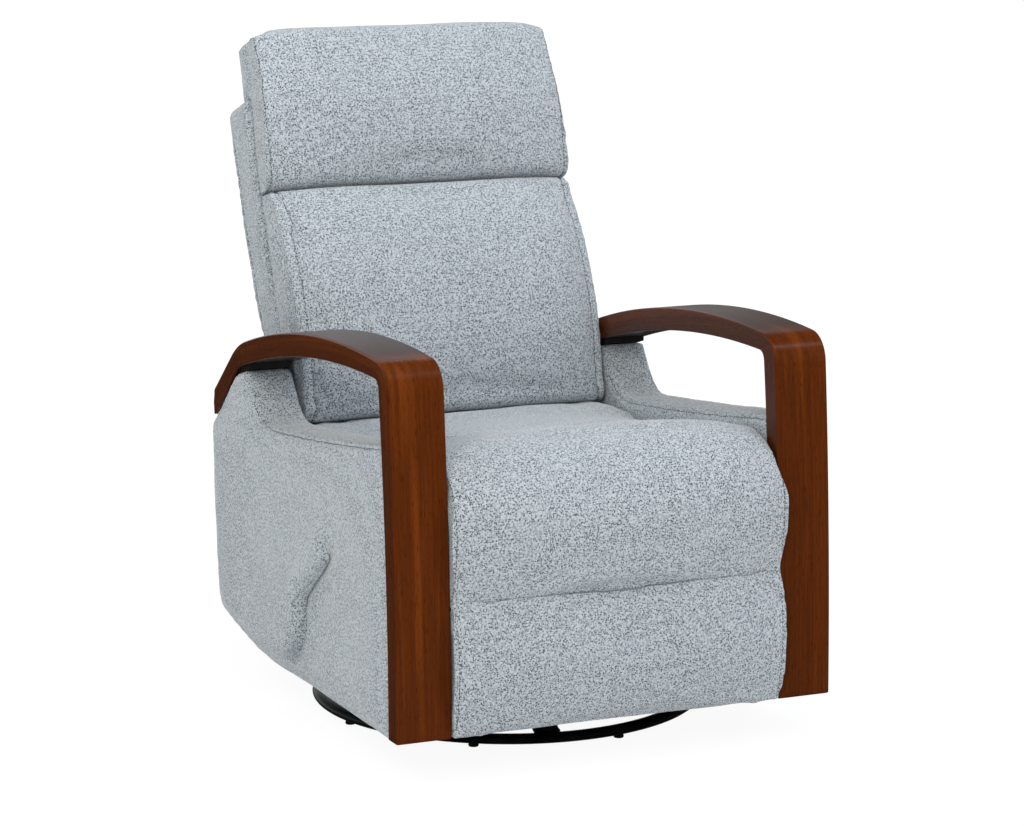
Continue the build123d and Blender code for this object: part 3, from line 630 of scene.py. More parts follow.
def seat_form(points):
    """Seat: higher at its rear, with a roll in front that hangs over the footrest and fills its ends."""
    rear = swell(points[:, 1], 0.02, 0.13) * swell(points[:, 2], 0.35, 0.40)
    points[:, 2] += (9 * MM + 8 * MM * swell(np.abs(points[:, 0]), 0.19, 0.25)) * rear
    lip = (1 - swell(points[:, 2], 0.262, 0.34)) * swell(-points[:, 1], 0.385, 0.40)
    points[:, 2] -= (9 * MM + 4 * MM * swell(np.abs(points[:, 0]), 0.20, 0.25)) * lip
    front = swell(-points[:, 1], 0.385, 0.41)
    points = overhang(points, BETWEEN_SIDES, ROLL_WIDE)
    low = points[front > 0.5, 2].min()
    roll = front * (1 - swell(points[:, 2], 0.375, 0.42))
    filled_ends(points, low, ROLL_TOP, ROLL_END, 4 * MM, 1 * MM, roll)
    return between_posts(points, BETWEEN_SIDES, ROLL_WIDE)


def pad_form(points):
    """Footrest cushion: set between its foot and top, drawn down and up at its ends, which are full."""
    low, high = points[:, 2].min(), points[:, 2].max()
    points[:, 2] = PAD_FOOT_Z + (points[:, 2] - low) / (high - low) * (PAD_TOP_Z - PAD_FOOT_Z)
    foot = 1 - swell(points[:, 2], 0.085, 0.150)
    top = swell(points[:, 2], 0.215, 0.255)
    points[:, 2] += (4 * MM * top - 5 * MM * foot) * swell(np.abs(points[:, 0]), 0.19, 0.25)
    points = overhang(points, PAD_NARROW, PAD_WIDE)
    low, high = points[:, 2].min(), points[:, 2].max()
    filled_ends(points, low, high, PAD_END, 14 * MM, 5 * MM, np.ones(len(points)))
    return between_posts(points, PAD_NARROW, PAD_WIDE)


LEVER_ROOT = -0.346
LEVER_DEPTH = 0.0185
LEVER_TOP = np.array((-0.142, 0.290))
LEVER_REACH = 0.1885
LEVER_RUN = np.array((0.626, -0.780))
LEVER_ACROSS = np.array((0.780, 0.626))
# Places down the lever, and its front and rear edges there, from its straight axis
LEVER_PLACES = np.array((-30, 0, 34, 80, 113, 130, 150, 168, 197, 230)) * MM
LEVER_FRONT = np.array((-25, -21, -14, -3, 4, -3, -25, -32, -32, -28)) * MM
LEVER_REAR = np.array((14, 20, 25, 31, 34, 36, 38, 40, 40, 38)) * MM
COVER_REAR = np.array((30, 40, 46, 53, 56, 57, 58, 60, 62, 58)) * MM
# Places down the lever, and how far it stands out there, as a share of the solid's depth
DEPTH_PLACES = (-0.015, -0.006, 0.02, 0.09, 0.14, 0.19)
DEPTH_SHARES = (0.5, 0.8, 0.85, 0.95, 1.2, 1.4)


def on_lever(points):
    """Length down the lever, and distance behind its axis, of each point."""
    away = points[:, 1:] - LEVER_TOP
    return away @ LEVER_RUN, away @ LEVER_ACROSS


def lever_form(points):
    """Pear-shaped pull: a bent neck where it leaves the side, and a full end."""
    down, behind = on_lever(points)
    # The solid is 30 mm wide at its top and 56 mm at its end
    half = (15 + 13 * np.clip(down / LEVER_REACH, 0, 1)) * MM
    front = np.interp(down, LEVER_PLACES, LEVER_FRONT)
    rear = np.interp(down, LEVER_PLACES, LEVER_REAR)
    across = (front + rear) / 2 + behind / half * (rear - front) / 2
    deep = np.interp(down, DEPTH_PLACES, DEPTH_SHARES)
    # The front wall leans, wider at its root
    root = 1 - np.clip((LEVER_ROOT - points[:, 0]) / LEVER_DEPTH, 0, 1)
    across -= 7 * MM * root * swell(-behind / half, -0.2, 0.9)
    longer = down + 10 * MM * swell(down, 0.15, 0.216)
    points[:, 1:] = LEVER_TOP + longer[:, None] * LEVER_RUN + across[:, None] * LEVER_ACROSS
    points[:, 0] = LEVER_ROOT + (points[:, 0] - LEVER_ROOT) * deep
    return points


def lever_side_form(points):
    """The cover swells up behind the lever, and is drawn in along its front, with a soft hollow there."""
    points = side_form(points)
    outer = swell(-points[:, 0], 0.325, 0.340)
    down, behind = on_lever(points)
    from_front = behind - np.interp(down, LEVER_PLACES, LEVER_FRONT)
    width = np.interp(down, LEVER_PLACES, COVER_REAR - LEVER_FRONT)
    share = from_front / width
    near = swell(down, -0.05, 0.02) * (1 - swell(down, 0.135, 0.200))
    rise = 9 * MM * near * swell(share, 0.0, 0.3) * (1 - swell(share, 0.45, 1.15))
    groove = 4.0 * MM * bell(from_front, -4 * MM, 12 * MM) * swell(down, -0.055, -0.01)
    groove *= 1 - 0.6 * swell(down, 0.11, 0.15) - 0.4 * swell(down, 0.20, 0.25)
    hollow = 7 * MM * bell(from_front, -42 * MM, 30 * MM) * bell(down, 0.07, 0.06)
    points[:, 0] += (groove + hollow - rise) * outer
    return points


def side_form(points):
    """The sides are filled out at the rear, below it, on the sill and on the riser that carries the arm."""
    y, z = points[:, 1].copy(), points[:, 2].copy()
    points[:, 1] += 5 * MM * swell(y, 0.20, 0.36)
    points[:, 2] -= 3 * MM * (1 - swell(z, 0.24, 0.36)) * swell(y, -0.05, 0.12)
    points[:, 2] += 5 * MM * swell(z, 0.39, 0.43) * (1 - swell(y, 0.06, 0.14))
    riser = swell(z, 0.42, 0.48) * swell(y, 0.02, 0.10)
    points[:, 1] -= 4 * MM * riser * (1 - swell(y, 0.14, 0.22))
    outer = np.sign(points[:, 0]) * swell(np.abs(points[:, 0]), 0.30, 0.34)
    points[:, 0] += outer * (2 * MM * swell(y, 0.05, 0.30) + 3 * MM * riser)
    return points


def same_form(points):
    return points


soft_pieces = {}
# A full cushion: mesh size, how much smaller it starts, pressure, its rise, fill, depth of seam and pucker
CUSHION = dict(voxel=6 * MM, inset=3 * MM, pressure=4.0, cap=9 * MM, fill=0.8)
CUSHION.update(cut=3.0 * MM, pucker=0.35 * MM)
SHALLOW_SEAM = dict(cut=0.9 * MM, pucker=0.25 * MM)
COVER = dict(inset=1 * MM, pressure=3.0, fill=0.5)
SIDE_COVER = dict(COVER, cap=5 * MM, cut=2.4 * MM, pucker=0.3 * MM)
UNBLOWN = dict(inset=0.0, pressure=0.0, cap=0.0)


def stuffed(node, name, body, form, held, seams, **filling):
    """Remesh a soft CAD node evenly and get it ready for stuffing, as a full cushion or as filling says."""
    filling = {**CUSHION, **filling}
    piece = welded_copy(node, name)
    remesh = piece.modifiers.new("even_mesh", "REMESH")
    remesh.mode = "VOXEL"
    remesh.voxel_size = filling["voxel"]
    plain(piece)
    points, outward = get_points(piece), get_normals(piece)
    fast = held(points) | (nearest(points, seams)[0] < 5 * MM)
    group = piece.vertex_groups.new(name="held")
    group.add([int(i) for i in np.flatnonzero(fast)], 1.0, "REPLACE")
    start = points - outward * np.where(fast, 0.0, filling["inset"])[:, None]
    set_points(piece, start)
    made = dict(piece=piece, node=node, body=body, form=form, seams=seams, start=start, outward=outward)
    soft_pieces[name] = {**made, **filling}


def stuff_all():
    """Blow every soft piece up together, and hold each point near its place in the solid."""
    blown = [soft for soft in soft_pieces.values() if soft["pressure"]]
    for soft in blown:
        cloth = soft["piece"].modifiers.new("stuffing", "CLOTH")
        cloth.settings.use_pressure = True
        cloth.settings.uniform_pressure_force = soft["pressure"]
        cloth.settings.vertex_group_mass = "held"
        cloth.settings.effector_weights.gravity = 0.0
        cloth.collision_settings.use_collision = False
    for step in range(1, 14):
        scene.frame_set(step)
    for soft in blown:
        plain(soft["piece"])
        moved = get_points(soft["piece"]) - soft["start"]
        rise = np.sum(moved * soft["outward"], axis=1, keepdims=True)
        slide = moved - rise * soft["outward"]
        length = np.linalg.norm(slide, axis=1, keepdims=True)
        slide *= np.minimum(1.0, 3 * MM / np.maximum(length, 1e-9))
        limit = 1.2 * soft["cap"]
        rise = limit * np.tanh(np.maximum(rise, -1 * MM) / limit)
        set_points(soft["piece"], soft["start"] + soft["outward"] * rise + slide)
    scene.frame_set(1)


def finer(piece, relax):
    """Even out a mesh and subdivide it once."""
    evener = piece.modifiers.new("relax", "SMOOTH")
    evener.factor = 0.5
    evener.iterations = relax
    subdivided = piece.modifiers.new("finer", "SUBSURF")
    subdivided.levels = subdivided.render_levels = 1
    plain(piece)


def sewn(piece, seams, cut, pucker, ripple, seed):
    """Draw the seams in, with small puckers beside them, and add the soft unevenness of a filled cover."""
    points, outward = get_points(piece), get_normals(piece)
    far, along = nearest(points, seams)
    width = 3.2 * MM
    groove = -cut * bell(far, 0.0, width)
    beside = bell(far, 2.6 * width, 2.2 * width)
    gather = np.sin(2 * math.pi * along / (21 * MM) + 2.5 * waves(points, 0.05, seed)) * beside * pucker
    uneven = waves(points, 0.085, seed + 1) * ripple + waves(points, 0.03, seed + 2) * ripple * 0.35
    set_points(piece, points + outward * (groove + gather + uneven)[:, None])


def dress(piece, body, slot, *nodes):
    """Finish a piece: material, body, slot and the nodes that it stands for."""
    piece.data.materials.clear()
    piece.data.materials.append(finishes[slot])
    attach(piece, body)
    if nodes:
        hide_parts(*nodes)


# Which points of each piece its frame holds fast


def hold_back(points):
    """The pillows rest on the shell."""
    return on_back(points)[1] < 0.060


def hold_seat(points):
    """The seat rests on its straps and ends under the lumbar pillow."""
    below = (points[:, 2] < 0.345) & (points[:, 1] > -0.38)
    return below | (points[:, 1] > 0.160)


def hold_pad(points):
    """The footrest cushion is fixed to its board."""
    return points[:, 1] > -0.412


def hold_side(points, name):
    """A side cover is held on its inner face and under its arm."""
    under_arm = touching(points, (f"arm_{name}", f"arm_spacer_{name}"), 5 * MM)
    return (np.abs(points[:, 0]) < SIDE_HELD) | under_arm


def hold_left_side(points):
    return hold_side(points, "left")


def hold_right_side(points):
    return hold_side(points, "right")


def hold_shell(points):
    """The back cover is held under the pillows and at its foot."""
    length, depth = on_back(points)
    return (depth > 0.052) | (length < 0.004)


def hold_rear(points):
    return points[:, 1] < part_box("rear_panel")[0].y + 2 * MM


def hold_none(points):
    return np.zeros(len(points), bool)


head_seams = both_ends("head_cushion", front_of_shell)
lumbar_seams = both_ends("lumbar_cushion", front_of_shell, 16 * MM, 9 * MM)
roll_seams = both_ends("seat_cushion", roll_and_top) + seat_cross_seam
pad_seams = both_ends("footrest_pad", front_of_pad)
rear_seam = shell_rear_seam()
left_seams, right_seams = side_seams(1, "left"), side_seams(-1, "right")

stuffed("head_cushion", "head_pillow", "back", head_form, hold_back, head_seams)
stuffed("lumbar_cushion", "lumbar_pillow", "back", lumbar_form, hold_back, lumbar_seams)
seat_filling = dict(SHALLOW_SEAM, voxel=6.5 * MM)
stuffed("seat_cushion", "seat_and_roll", "chassis", seat_form, hold_seat, roll_seams, **seat_filling)
pad_filling = dict(SHALLOW_SEAM, cap=8 * MM, fill=0.75)
stuffed("footrest_pad", "footrest_cushion", "link_board", pad_form, hold_pad, pad_seams, **pad_filling)
stuffed("back_shell", "back_cover", "back", shell_form, hold_shell, rear_seam, cap=6 * MM, **COVER)
thin_filling = dict(COVER, voxel=5 * MM, pressure=2.0, cap=4 * MM, fill=0.4)
stuffed("rear_panel", "rear_cover", "chassis", same_form, hold_rear, [], **thin_filling)
stuffed("back_skirt", "back_flap", "back", same_form, hold_none, [], voxel=3 * MM, fill=0.3, **UNBLOWN)
for name, form, hold, seams in (
    ("left", side_form, hold_left_side, left_seams),
    ("right", lever_side_form, hold_right_side, right_seams),
):
    stuffed(f"side_panel_{name}", f"side_cover_{name}", "chassis", form, hold, seams, **SIDE_COVER)
lever_filling = dict(UNBLOWN, voxel=2.5 * MM, fill=0.5)
stuffed("lever_handle", "lever_cover", "lever", lever_form, hold_none, [], **lever_filling)
stuff_all()

for seed, (name, soft) in enumerate(soft_pieces.items()):
    piece = soft["piece"]
    finer(piece, relax=2)
    set_points(piece, soft["form"](get_points(piece)))
    soft["seams"] = laid_on(piece, soft["seams"])
    ripple = 0.0 if name in ("lever_cover", "back_flap") else 0.9 * MM
    sewn(piece, soft["seams"], soft["cut"], soft["pucker"], ripple, seed * 10)
    smooth_shading(piece)
    dress(piece, soft["body"], "fabric", soft["node"])


# Bent plywood arms, swept along their bend so that the grain follows it


def arc_through(a, b, c, count):
    """Points of the circle arc from a through b to c, in the plane of the side."""
    a, b, c = (np.array(p, float) for p in (a, b, c))
    d = 2 * (a[0] * (b[1] - c[1]) + b[0] * (c[1] - a[1]) + c[0] * (a[1] - b[1]))
    sq = [p @ p for p in (a, b, c)]
    centre = np.array(
        (
            (sq[0] * (b[1] - c[1]) + sq[1] * (c[1] - a[1]) + sq[2] * (a[1] - b[1])) / d,
            (sq[0] * (c[0] - b[0]) + sq[1] * (a[0] - c[0]) + sq[2] * (b[0] - a[0])) / d,
        )
    )
    angles = [math.atan2(*(p - centre)[::-1]) for p in (a, b, c)]
    middle = angles[0] + math.remainder(angles[1] - angles[0], 2 * math.pi)
    last = middle + math.remainder(angles[2] - angles[1], 2 * math.pi)
    turn = np.linspace(angles[0], last, count + 1)
    radius = np.linalg.norm(a - centre)
    return centre + radius * np.stack((np.cos(turn), np.sin(turn)), axis=1)


def part_of(line, start, end, count):
    """Evenly spaced points of a line, from a length after its start to a length before its end."""
    steps = np.linalg.norm(np.diff(line, axis=0), axis=1)
    along = np.concatenate(([0.0], np.cumsum(steps)))
    wanted = np.linspace(start, along[-1] - end, count + 1)
    return np.stack([np.interp(wanted, along, line[:, i]) for i in range(2)], axis=1)


def bent(lines, radii, counts, corner_count):
    """Join lines end to end with rounded corners, each with a fixed number of points."""
    cuts = [0.0]
    for first, second, radius in zip(lines, lines[1:], radii):
        before = first[-1] - first[-2]
        after = second[1] - second[0]
        cosine = before @ after / np.linalg.norm(before) / np.linalg.norm(after)
        cuts.append(radius * math.tan(math.acos(min(1.0, cosine)) / 2))
    cuts.append(0.0)
    runs = [part_of(line, cuts[i], cuts[i + 1], counts[i]) for i, line in enumerate(lines)]
    joined = [runs[0]]
    for first, second, radius in zip(runs, runs[1:], radii):
        start, end = first[-1], second[0]
        leave = (first[-1] - first[-2]) / np.linalg.norm(first[-1] - first[-2])
        arrive = (second[1] - second[0]) / np.linalg.norm(second[1] - second[0])
        turn = math.acos(min(1.0, leave @ arrive))
        reach = 4 / 3 * math.tan(turn / 4) * radius
        t = np.linspace(0, 1, corner_count + 1)[1:-1, None]
        handle, other = start + leave * reach, end - arrive * reach
        curve = (1 - t) ** 3 * start + 3 * t * (1 - t) ** 2 * handle
        curve = curve + 3 * t**2 * (1 - t) * other + t**3 * end
        joined += [curve, second]
    return np.vstack(joined)


ARM_TOP = 0.611
POST_FOOT = 0.064
POST_THICK = 0.032
ARM_THICK = 0.033
TIP_THICK = 0.029
EDGE_ROUND = 0.0028
PLANK_HALF = (HALF_WIDTH - POST_INNER) / 2
PLY_EDGE = PLANK_HALF - 1 * MM
# Each arm is cut from another stretch of ply
GRAIN_SHIFT = 0.4
# Darkening of the ply edges, partly stain in the end grain and partly painted shade, and painted shade on
# top of the arm
EDGE_STAIN_AND_SHADE = 0.32
TOP_PAINTED_SHADE = 0.72
# Slanted tip, in millimetres: length before its end, how far the section draws in, and its slant
ARM_TIP = ((26, 0, 0.1), (19, 0.6, 1), (12, 2.2, 3), (7, 4.2, 5.5), (3, 6.6, 8), (1, 8.2, 9.4), (0, 9.6, 10))


def plank_lines():
    """The outer and the inner line of the bent plank in the plane of the side."""
    f, top = POST_FRONT, ARM_TOP
    bend, crest = (f + 0.031, top - 0.009), (f + 0.330, top - 0.0075)
    elbow, tip = (f + 0.653, top - 0.0730), (f + 0.777, top - 0.1745)
    low = top - ARM_THICK
    tip_in = (f + 0.773 - 0.64 * TIP_THICK, top - 0.176 - 0.77 * TIP_THICK)
    elbow_in = (f + 0.651, top - 0.0753 - ARM_THICK)
    crest_in, bend_in = (f + 0.386, low - 0.0165), (f + POST_THICK + 0.034, low)
    outer = [
        arc_through((f, POST_FOOT), (f + 0.008, 0.300), bend, 60),
        arc_through(bend, crest, elbow, 80),
        np.linspace(elbow, tip, 30),
    ]
    inner = [
        arc_through((f + POST_THICK, POST_FOOT), (f + POST_THICK + 0.009, 0.320), bend_in, 60),
        arc_through(bend_in, crest_in, elbow_in, 80),
        np.linspace(elbow_in, tip_in, 30),
    ]
    counts, corner = (40, 44, 14), 12
    return bent(outer, (0.047, 0.200), counts, corner), bent(inner, (0.015, 0.060), counts, corner)


def rounding(centre, radius, start, support):
    """Five points of a quarter circle from a start angle, and a support point before and after them."""
    first, last = math.radians(start), math.radians(start + 90)
    turns = [first] + [first + (last - first) * i / 4 for i in range(5)] + [last]
    before_and_after = [-support] + [0.0] * 5 + [support]
    points = []
    for turn, shift in zip(turns, before_and_after):
        rim = np.array(centre) + radius * np.array((math.cos(turn), math.sin(turn)))
        points.append(rim + np.array((-math.sin(turn), math.cos(turn))) * shift)
    return points


def plank_section(thick):
    """Rounded section of the plank: (across, through) points, with close support beside each rounding."""
    half, r = PLANK_HALF, EDGE_ROUND
    corners = ((half, thick, 0), (-half, thick, 90), (-half, 0, 180), (half, 0, 270))
    ring = []
    for x, t, start in corners:
        centre = (x - math.copysign(r, x), t - r if t > 0 else r)
        ring += rounding(centre, r, start, 1.2 * MM)
    return ring


def bent_arm(side, name):
    """One plank: its section at stations from the post's foot to the slanted tip, with grain, and with stain
    and painted shade.
    """
    outer, inner = plank_lines()
    middle = (outer + inner) / 2
    along = np.concatenate(([0.0], np.cumsum(np.linalg.norm(np.diff(middle, axis=0), axis=1))))
    centre_x = side * (HALF_WIDTH + POST_INNER) / 2
    points, grain, stain_and_shade, faces = [], [], [], []
    size = len(plank_section(ARM_THICK))
    last = len(outer) - 1
    # Each station: its place in the lines, a shift along them, how far the section draws in, and its slant
    stations = [(0, 0.0, 1.5 * MM, 0.0), (0, 1.5 * MM, 0.0, 0.0)]
    before_tip = along[last] - (ARM_TIP[0][0] + 3) * MM
    stations += [(i, 0.0, 0.0, 0.0) for i in range(1, last) if along[i] < before_tip]
    stations += [(last, -reach * MM, shrink * MM, slant * MM) for reach, shrink, slant in ARM_TIP]
    for i, shift, shrink, slant in stations:
        through = outer[i] - inner[i]
        thick = np.linalg.norm(through)
        through = through / thick
        step = middle[min(i + 1, last)] - middle[max(i - 1, 0)]
        step = step / np.linalg.norm(step)
        base = inner[i] + step * shift
        for x, t in plank_section(thick):
            squeezed = 1 - 2 * shrink / thick
            pivot = thick * (0.2 if slant else 0.5)
            y, z = base + through * ((t - pivot) * squeezed + pivot) + step * slant * (1 - t / thick)
            across = x * (1 - min(shrink, 2 * MM) / PLANK_HALF)
            points.append((centre_x + across, y, z))
            grain.append((along[i] + shift, across + side * GRAIN_SHIFT, t))
            # Painted shade on top of the arm; on the ply edges darker stain together with painted shade
            on_top = float(swell(along[i], 0.535, 0.60))
            stain_and_shade.append(EDGE_STAIN_AND_SHADE if abs(x) > PLY_EDGE else TOP_PAINTED_SHADE * on_top)
    rows = len(stations)
    for row in range(rows - 1):
        for k in range(size):
            a, b = row * size + k, row * size + (k + 1) % size
            faces.append((a, b, b + size, a + size))
    faces.append(tuple(reversed(range(size))))
    faces.append(tuple(range((rows - 1) * size, rows * size)))
    mesh = mesh_from(name, points, faces)
    shell = bmesh.new()
    shell.from_mesh(mesh)
    bmesh.ops.recalc_face_normals(shell, faces=shell.faces)
    shell.to_mesh(mesh)
    shell.free()
    store = mesh.attributes.new("grain", "FLOAT_VECTOR", "POINT")
    store.data.foreach_set("vector", np.array(grain, np.float32).ravel())
    mesh.attributes.new("stain_and_shade", "FLOAT", "POINT").data.foreach_set("value", stain_and_shade)
    arm = new_object(name, mesh)
    smooth_shading(arm)
    for end in arm.data.polygons[-2:]:
        end.use_smooth = False
    return arm


for side, name in ((1, "left"), (-1, "right")):
    dress(bent_arm(side, f"bent_arm_{name}"), "chassis", "stained_plywood", f"arm_{name}")


# Swivel base: smooth tube ring, and feet placed round it


def tube_ring(name, segments=144, sides=24):
    """Ring of flattened tube."""
    points, faces = [], []
    for i in range(segments):
        a = 2 * math.pi * i / segments
        for k in range(sides):
            b = 2 * math.pi * k / sides
            reach = RING_RADIUS + RING_WIDE / 2 * math.cos(b)
            height = RING_HEIGHT + RING_TALL / 2 * math.sin(b)
            points.append((reach * math.cos(a), RING_Y + reach * math.sin(a), height))
            ahead, up = (i + 1) % segments, (k + 1) % sides
            faces.append((i * sides + k, ahead * sides + k, ahead * sides + up, i * sides + up))
    ring = new_object(name, mesh_from(name, points, faces))
    smooth_shading(ring)
    return ring


dress(tube_ring("tube_ring"), "base", "black_gloss_tube", "base_ring")


def geometry_tree(name, sizes):
    """An empty geometry tree with named sizes: returns it, its input and output nodes and its input keys."""
    tree = bpy.data.node_groups.new(name, "GeometryNodeTree")
    tree.interface.new_socket("Geometry", in_out="INPUT", socket_type="NodeSocketGeometry")
    tree.interface.new_socket("Geometry", in_out="OUTPUT", socket_type="NodeSocketGeometry")
    kinds = {**{size: "NodeSocketFloat" for size in sizes}, "Finish": "NodeSocketMaterial"}
    keys = {}
    for key, kind in kinds.items():
        keys[key] = tree.interface.new_socket(key, in_out="INPUT", socket_type=kind).identifier
    return tree, tree.nodes.new("NodeGroupInput"), tree.nodes.new("NodeGroupOutput"), keys


def grown(name, mesh, tree, keys, finish, **sizes):
    """Run a geometry tree on a mesh and keep the result as a plain piece."""
    piece = new_object(name, mesh)
    modifier = piece.modifiers.new("grow", "NODES")
    modifier.node_group = tree
    for size, value in sizes.items():
        modifier[keys[size]] = value
    modifier[keys["Finish"]] = finish
    plain(piece)
    smooth_shading(piece)
    return piece


def closing(tree, geometry, given, out):
    """End a tree: real geometry with its finish."""
    real = add(tree, "GeometryNodeRealizeInstances", {"Geometry": geometry})
    finished = {"Geometry": real.outputs[0], "Material": given.outputs["Finish"]}
    done = add(tree, "GeometryNodeSetMaterial", finished)
    tree.links.new(done.outputs[0], out.inputs["Geometry"])


def feet_tree():
    """Glides under the ring: a round pad below a tapered stem, one at each point of the mesh."""
    tree, given, out, keys = geometry_tree("ring_feet", ("Pad_radius", "Pad_height", "Stem_height"))
    size = given.outputs
    rim = add(tree, "ShaderNodeMath", {0: size["Pad_radius"], 1: 0.88}, operation="MULTIPLY")
    neck = add(tree, "ShaderNodeMath", {0: size["Pad_radius"], 1: 0.72}, operation="MULTIPLY")
    low = add(tree, "ShaderNodeMath", {0: size["Pad_height"], 1: 0.3}, operation="MULTIPLY")
    layers = (
        (rim.outputs[0], size["Pad_radius"], low.outputs[0], None),
        (size["Pad_radius"], neck.outputs[0], size["Stem_height"], low.outputs[0]),
    )
    join = add(tree, "GeometryNodeJoinGeometry")
    for bottom, top, height, lift in layers:
        cone = {"Vertices": 28, "Radius Top": top, "Radius Bottom": bottom, "Depth": height}
        shape = add(tree, "GeometryNodeMeshCone", cone).outputs["Mesh"]
        if lift is not None:
            offset = add(tree, "ShaderNodeCombineXYZ", {"Z": lift})
            lifted = {"Geometry": shape, "Translation": offset.outputs[0]}
            shape = add(tree, "GeometryNodeTransform", lifted).outputs[0]
        tree.links.new(shape, join.inputs[0])
    at_points = {"Points": given.outputs["Geometry"], "Instance": join.outputs[0]}
    placed = add(tree, "GeometryNodeInstanceOnPoints", at_points)
    closing(tree, placed.outputs[0], given, out)
    return tree, keys


feet_nodes, feet_keys = feet_tree()
foot_places = []
for i in range(FOOT_COUNT):
    turn = math.radians(FOOT_FIRST_ANGLE + 360 / FOOT_COUNT * i)
    foot_places.append((RING_RADIUS * math.cos(turn), RING_Y + RING_RADIUS * math.sin(turn), 0.0))
feet = grown(
    "ring_feet",
    mesh_from("ring_feet", foot_places, []),
    feet_nodes,
    feet_keys,
    finishes["black_plastic"],
    Pad_radius=8 * MM,
    Pad_height=6 * MM,
    Stem_height=9 * MM,
)
dress(feet, "base", "black_plastic", "base_feet")


def stitch_tree():
    """A row of short thread stitches along a line of edges."""
    tree, given, out, keys = geometry_tree("seam_stitches", ("Pitch", "Length", "Thickness"))
    curve = add(tree, "GeometryNodeMeshToCurve", {"Mesh": given.outputs["Geometry"]})
    spaced = {"Curve": curve.outputs[0], "Length": given.outputs["Pitch"]}
    row = add(tree, "GeometryNodeResampleCurve", spaced, mode="LENGTH")
    bead = add(tree, "GeometryNodeMeshIcoSphere", {"Radius": 0.5, "Subdivisions": 1})
    tangent = add(tree, "GeometryNodeInputTangent")
    turned = add(tree, "FunctionNodeAlignRotationToVector", {"Vector": tangent.outputs[0]}, axis="Z")
    thick, long = given.outputs["Thickness"], given.outputs["Length"]
    size = add(tree, "ShaderNodeCombineXYZ", {"X": thick, "Y": thick, "Z": long})
    along_row = {
        "Points": row.outputs[0],
        "Instance": bead.outputs[0],
        "Rotation": turned.outputs[0],
        "Scale": size.outputs[0],
    }
    placed = add(tree, "GeometryNodeInstanceOnPoints", along_row)
    closing(tree, placed.outputs[0], given, out)
    return tree, keys


stitches, stitch_keys = stitch_tree()


def stitch_rows(name, body, *pieces):
    """Sew stitches into all the seams of some pieces of one body, lying on their surfaces."""
    points, edges = [], []
    for piece in pieces:
        skin = surface_of(soft_pieces[piece]["piece"])
        for seam in soft_pieces[piece]["seams"]:
            first = len(points)
            for spot in evenly(seam, 3 * MM)[0]:
                place, outward, _, _ = skin.find_nearest(spot)
                points.append(tuple(place + outward * 0.2 * MM))
            edges += [(i, i + 1) for i in range(first, len(points) - 1)]
    mesh = bpy.data.meshes.new(name)
    mesh.from_pydata(points, edges, [])
    row = grown(name, mesh, stitches, stitch_keys, thread, Pitch=6 * MM, Length=4.4 * MM, Thickness=1.5 * MM)
    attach(row, body)


# The dark stitches also stand for the painted shade along the seams
stitch_rows("back_stitches", "back", "head_pillow", "lumbar_pillow", "back_cover")
stitch_rows("body_stitches", "chassis", "seat_and_roll", "side_cover_left", "side_cover_right")
stitch_rows("footrest_stitches", "link_board", "footrest_cushion")


# Floor, light and camera

FLOOR_HALF = 60
WHITE = (1, 1, 1, 1)


def white_sweep():
    """White floor: pure white far away, with a soft shadow near the chair, and mirrored only dimly."""
    material, tree, shader = surface("white_sweep", Base_Color=linear("#F4F4F4"), Roughness=0.9)
    output = next(n for n in tree.nodes if n.type == "OUTPUT_MATERIAL")
    ray = add(tree, "ShaderNodeLightPath").outputs
    place = add(tree, "ShaderNodeTexCoord").outputs["Object"]
    reach = add(tree, "ShaderNodeVectorMath", {0: place}, operation="LENGTH")
    fade = ramp(tree, reach.outputs["Value"], 0.9, 3.0)
    share = add(tree, "ShaderNodeMath", {0: fade, 1: 0.1, 2: 0.9}, operation="MULTIPLY_ADD")
    seen = add(tree, "ShaderNodeMath", {0: ray["Is Camera Ray"], 1: share.outputs[0]}, operation="MULTIPLY")
    glow = add(tree, "ShaderNodeEmission", {"Color": WHITE, "Strength": 1.04})
    shown = add(tree, "ShaderNodeMixShader", {0: seen.outputs[0], 1: shader.outputs[0], 2: glow.outputs[0]})
    dim = add(tree, "ShaderNodeEmission", {"Color": WHITE, "Strength": 0.04})
    mirrored = {0: ray["Is Glossy Ray"], 1: shown.outputs[0], 2: dim.outputs[0]}
    both = add(tree, "ShaderNodeMixShader", mirrored)
    tree.links.new(both.outputs[0], output.inputs["Surface"])
    return material


floor_corners = [(x * FLOOR_HALF, y * FLOOR_HALF, 0) for x, y in ((-1, -1), (1, -1), (1, 1), (-1, 1))]
floor = new_object("floor", mesh_from("floor", floor_corners, [(0, 1, 2, 3)]))
floor.data.materials.append(white_sweep())


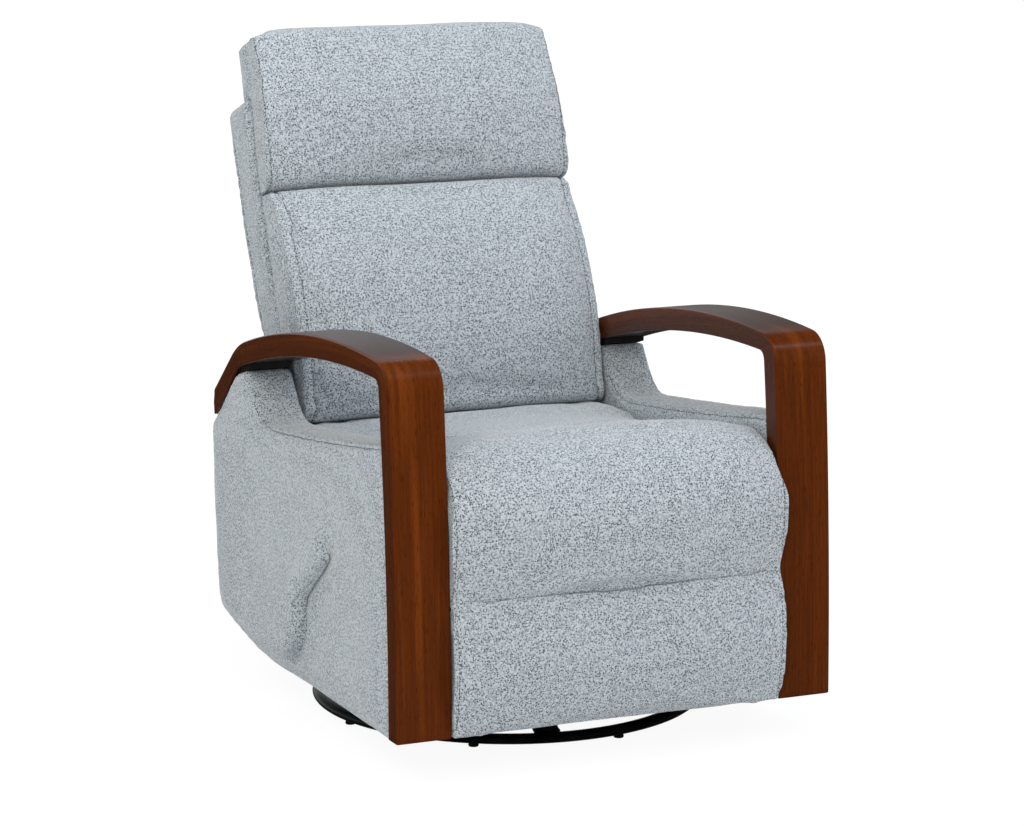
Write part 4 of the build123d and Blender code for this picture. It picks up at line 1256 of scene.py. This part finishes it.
def studio():
    """White to the eye, and a dim room with a bright panel behind at the left, as the lacquer mirrors it."""
    world = bpy.data.worlds.new("studio")
    world.use_nodes = True
    sky = world.node_tree
    sky.nodes.clear()
    ray = add(sky, "ShaderNodeLightPath").outputs
    straight = {0: ray["Is Camera Ray"], 1: ray["Is Transmission Ray"]}
    seen = add(sky, "ShaderNodeMath", straight, operation="MAXIMUM")
    way = add(sky, "ShaderNodeTexCoord").outputs["Generated"]
    facing = add(sky, "ShaderNodeSeparateXYZ", {"Vector": way}).outputs
    behind = ramp(sky, facing["Y"], -0.6, 0.4)
    low = ramp(sky, facing["Z"], 0.75, 0.35)
    left = ramp(sky, facing["X"], 0.52, 0.36)
    panel = add(sky, "ShaderNodeMath", {0: behind, 1: low}, operation="MULTIPLY")
    bright = add(sky, "ShaderNodeMath", {0: panel.outputs[0], 1: left}, operation="MULTIPLY")
    # Strength of the light that falls on the chair, and of the mirrored room and its panel
    light, room, panel_strength = 0.6, 0.08, 0.9
    over_light = {0: bright.outputs[0], 1: panel_strength, 2: room - light}
    mirrored = add(sky, "ShaderNodeMath", over_light, operation="MULTIPLY_ADD")
    by_ray = {0: ray["Is Glossy Ray"], 1: mirrored.outputs[0], 2: light}
    level = add(sky, "ShaderNodeMath", by_ray, operation="MULTIPLY_ADD")
    fill = add(sky, "ShaderNodeBackground", {"Color": linear("#F2F5F8"), "Strength": level.outputs[0]})
    white = add(sky, "ShaderNodeBackground", {"Color": WHITE, "Strength": 1.0})
    both = add(sky, "ShaderNodeMixShader", {0: seen.outputs[0], 1: fill.outputs[0], 2: white.outputs[0]})
    add(sky, "ShaderNodeOutputWorld", {"Surface": both.outputs[0]})
    return world


scene.world = studio()


def soft_box(name, place, aim, size, power, colour, mirrored):
    """A studio lamp, which the lacquer mirrors or not."""
    lamp = bpy.data.lights.new(name, "AREA")
    lamp.shape = "DISK"
    lamp.size = size
    lamp.energy = power
    lamp.color = linear(colour)[:3]
    lamp_object = bpy.data.objects.new(name, lamp)
    lamp_object.visible_glossy = mirrored
    scene.collection.objects.link(lamp_object)
    lamp_object.location = place
    lamp_object.rotation_euler = (Vector(aim) - Vector(place)).to_track_quat("-Z", "Y").to_euler()


soft_box("key_lamp", (-2.4, -3.3, 3.0), (0, 0, 0.5), 2.2, 72, "#FFF5E9", False)
soft_box("top_lamp", (0.2, -0.6, 4.2), (0, 0, 0.4), 2.6, 63, "#F6FAFF", False)
soft_box("side_lamp", (2.6, -3.4, 2.2), (0, 0, 0.5), 2.0, 28, "#FFFFFF", False)
soft_box("left_lamp", (-2.2, 0.5, 2.9), (0, 0.2, 0.8), 1.6, 17, "#FFFFFF", False)
soft_box("edge_lamp", (1.7, -1.7, 3.6), (0, -0.4, 0.6), 0.6, 9, "#FFFFFF", True)

# Camera fitted to the photograph: its place, its aim, its roll in degrees and its focal length in pixels
EYE = Vector((-2.1315, -4.7748, 1.4308))
AIM = Vector((0.0021, -0.0441, 0.4500))
CAMERA_ROLL = 0.135
FOCAL_PIXELS = 3437.74
IMAGE_WIDTH = 1024
SENSOR_MM = 36.0
camera_data = bpy.data.cameras.new("camera")
camera = bpy.data.objects.new("camera", camera_data)
scene.collection.objects.link(camera)
scene.camera = camera
turn = (AIM - EYE).to_track_quat("-Z", "Y").to_matrix()
roll = Matrix.Rotation(math.radians(CAMERA_ROLL), 3, "Z")
camera.matrix_world = Matrix.Translation(EYE) @ (turn @ roll).to_4x4()
camera_data.sensor_width = SENSOR_MM
camera_data.lens = SENSOR_MM * FOCAL_PIXELS / IMAGE_WIDTH
camera_data.clip_end = 200.0

scene.view_settings.view_transform = "Standard"
